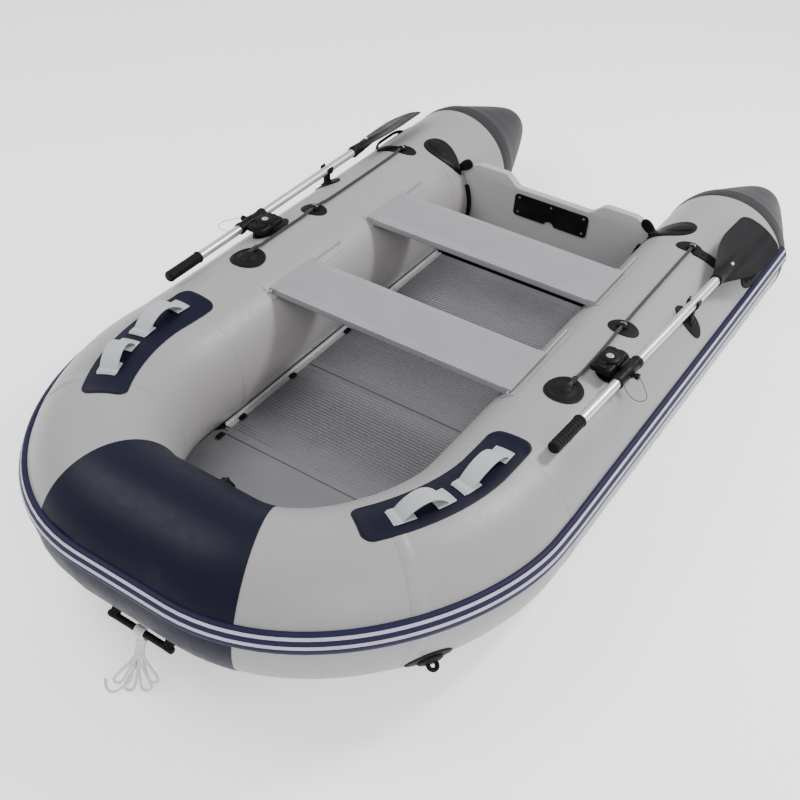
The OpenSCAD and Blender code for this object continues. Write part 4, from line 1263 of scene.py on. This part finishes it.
def sternGrip():
    h = sternHandle
    s = runOf(h["y"])
    pad = stack(oval(h["half"], h["wide"], 60), padLevels(0.0040, 0.0), onSide(s, h["angle"]))
    rings = []
    for k in range(41):
        t = k / 40 * 2 - 1
        up = h["rise"] * max(0.0, 1 - abs(t) ** 5) ** 0.8
        wide = 0.0085 + 0.004 * abs(t) ** 6
        tall = 0.0052 - 0.002 * abs(t) ** 6
        matrix = hullMatrix(s - h["reach"] * t, h["angle"], 0.0035 + up * 0.86)
        rings.append([matrix @ Vector((wide * cos(a) * (1 + 0.12 * cos(2 * a)), 0, tall * sin(a)))
                      for a in [2 * pi * i / 16 for i in range(16)]])
    bar = loft(rings)
    feet = [stack(oval(0.020, 0.016, 32), padLevels(0.006, 0.003, 0.003), onSide(s + x, h["angle"]))
            for x in (-h["reach"], h["reach"])]
    return joined(pad, bar, *feet)


tow = {"share": 0.42, "angle": -24, "ringR": 0.0115, "ringLift": 0.0035}


def towEye():
    s = runAt(tow["share"])
    place = onSide(s, tow["angle"])
    pad = stack([(p, q - 0.004) for p, q in oval(0.050, 0.038, 48)], padLevels(0.0045, 0.0025), place)
    lobe = stack(oval(0.027, 0.025, 36), padLevels(0.007, 0.006, 0.003),
                 lambda p, q, h: place(p, q, h + 0.0035))
    matrix = hullMatrix(s, tow["angle"], 0.016)
    r = tow["ringR"]
    eye = [matrix @ Vector((0, r * cos(a), tow["ringLift"] + r * sin(a)))
           for a in [2 * pi * k / 28 for k in range(28)]]
    rings = tubeRings(eye + eye[:2], 0.0056, 12)
    return joined(pad, lobe, loft(rings[:-1], capped=False))


bowBar = {"angle": -45, "postX": 0.086, "boltX": 0.110}


def bowHandle():
    place = onSide(halfRun, bowBar["angle"])
    base = stack(roundRect(0.122, 0.020, 0.016), padLevels(0.0055, 0.0), place)
    bar = painter["barY"], painter["barZ"]
    profile = [(0, -0.104), (0.0055, -0.1038), (0.0085, -0.1015), (0.0098, -0.097)]
    for k in range(13):
        x = -0.066 + 0.011 * k
        profile += [(0.0088, x - 0.0045), (0.0092, x), (0.0088, x + 0.0045)]
    profile += [(0.0098, 0.097), (0.0085, 0.1015), (0.0055, 0.1038), (0, 0.104)]
    grip = turned(profile, moved(0, *bar) @ turnedBy(90, "Y"), 32)
    posts = []
    for x in (-bowBar["postX"], bowBar["postX"]):
        posts.append(stack(roundRect(0.014, 0.010, 0.006),
                           [(0.02, 0.004), (1, 0.004), (0.9, 0.010), (0.82, 0.022),
                     (0.80, 0.030), (0.02, 0.030)], lambda p, q, h, x=x: place(p - x, q, h)))
    bolts = [turned([(0, 0.0035), (0.004, 0.003), (0.0058, 0.001), (0.0058, -0.001)],
                    hullMatrix(halfRun + x, bowBar["angle"], 0.006))
             for x in (-bowBar["boltX"], bowBar["boltX"])]
    return joined(base, grip, *posts, *bolts)


addPiece("sternGrips", bothSides(sternGrip), blackRubber, instead=("stern_handles",))
addPiece("towEyeSkins", bothSides(towEye), blackRubber, instead=("tow_eyes",))
addPiece("bowGrip", bowHandle(), blackRubber, instead=("bow_handle",))
print("handles made")

# materials of the pieces that keep the solid model's shape

kept = {"floor_panels": floorMetal, "bow_floor_plate": floorMetal, "floor_joiners": floorMetal,
        "side_stringers": railMetal, "bench_rails": greyFabric, "front_bench_ends": benchMetal,
        "rear_bench_ends": benchMetal, "port_oar_shaft": shaftMetal, "starboard_oar_shaft": shaftMetal,
        "port_thole_pin": blackPlastic, "starboard_thole_pin": blackPlastic,
        "port_pin_lanyard": blackRubber, "starboard_pin_lanyard": blackRubber, "transom_screws": steel,
        "keel_tube": innerFabric, "chamber_baffles": innerFabric}
for node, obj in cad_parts.items():
    obj.data.materials.clear()
    obj.data.materials.append(kept.get(node, blackPlastic))
print("kept pieces painted")

# ground

ground = {"half": 14, "drop": 0.0006, "glow": 0.66}


def addGround():
    bm = bmesh.new()
    bmesh.ops.create_grid(bm, x_segments=1, y_segments=1, size=ground["half"])
    bmesh.ops.translate(bm, vec=(0, 0, -ground["drop"]), verts=bm.verts)
    mesh = bpy.data.meshes.new("ground")
    bm.to_mesh(mesh)
    bm.free()
    obj = bpy.data.objects.new("ground", mesh)
    bpy.context.scene.collection.objects.link(obj)
    p = Paint("groundPaper")
    tone = p.cloud(p.place(), 1.2, 3)
    mesh.materials.append(p.finish(Base_Color=p.blend(tone, (0.93, 0.93, 0.935, 1),
                                                      (0.95, 0.95, 0.955, 1)), Roughness=0.75,
                                   Emission_Color=(1, 1, 1, 1), Emission_Strength=ground["glow"]))


addGround()
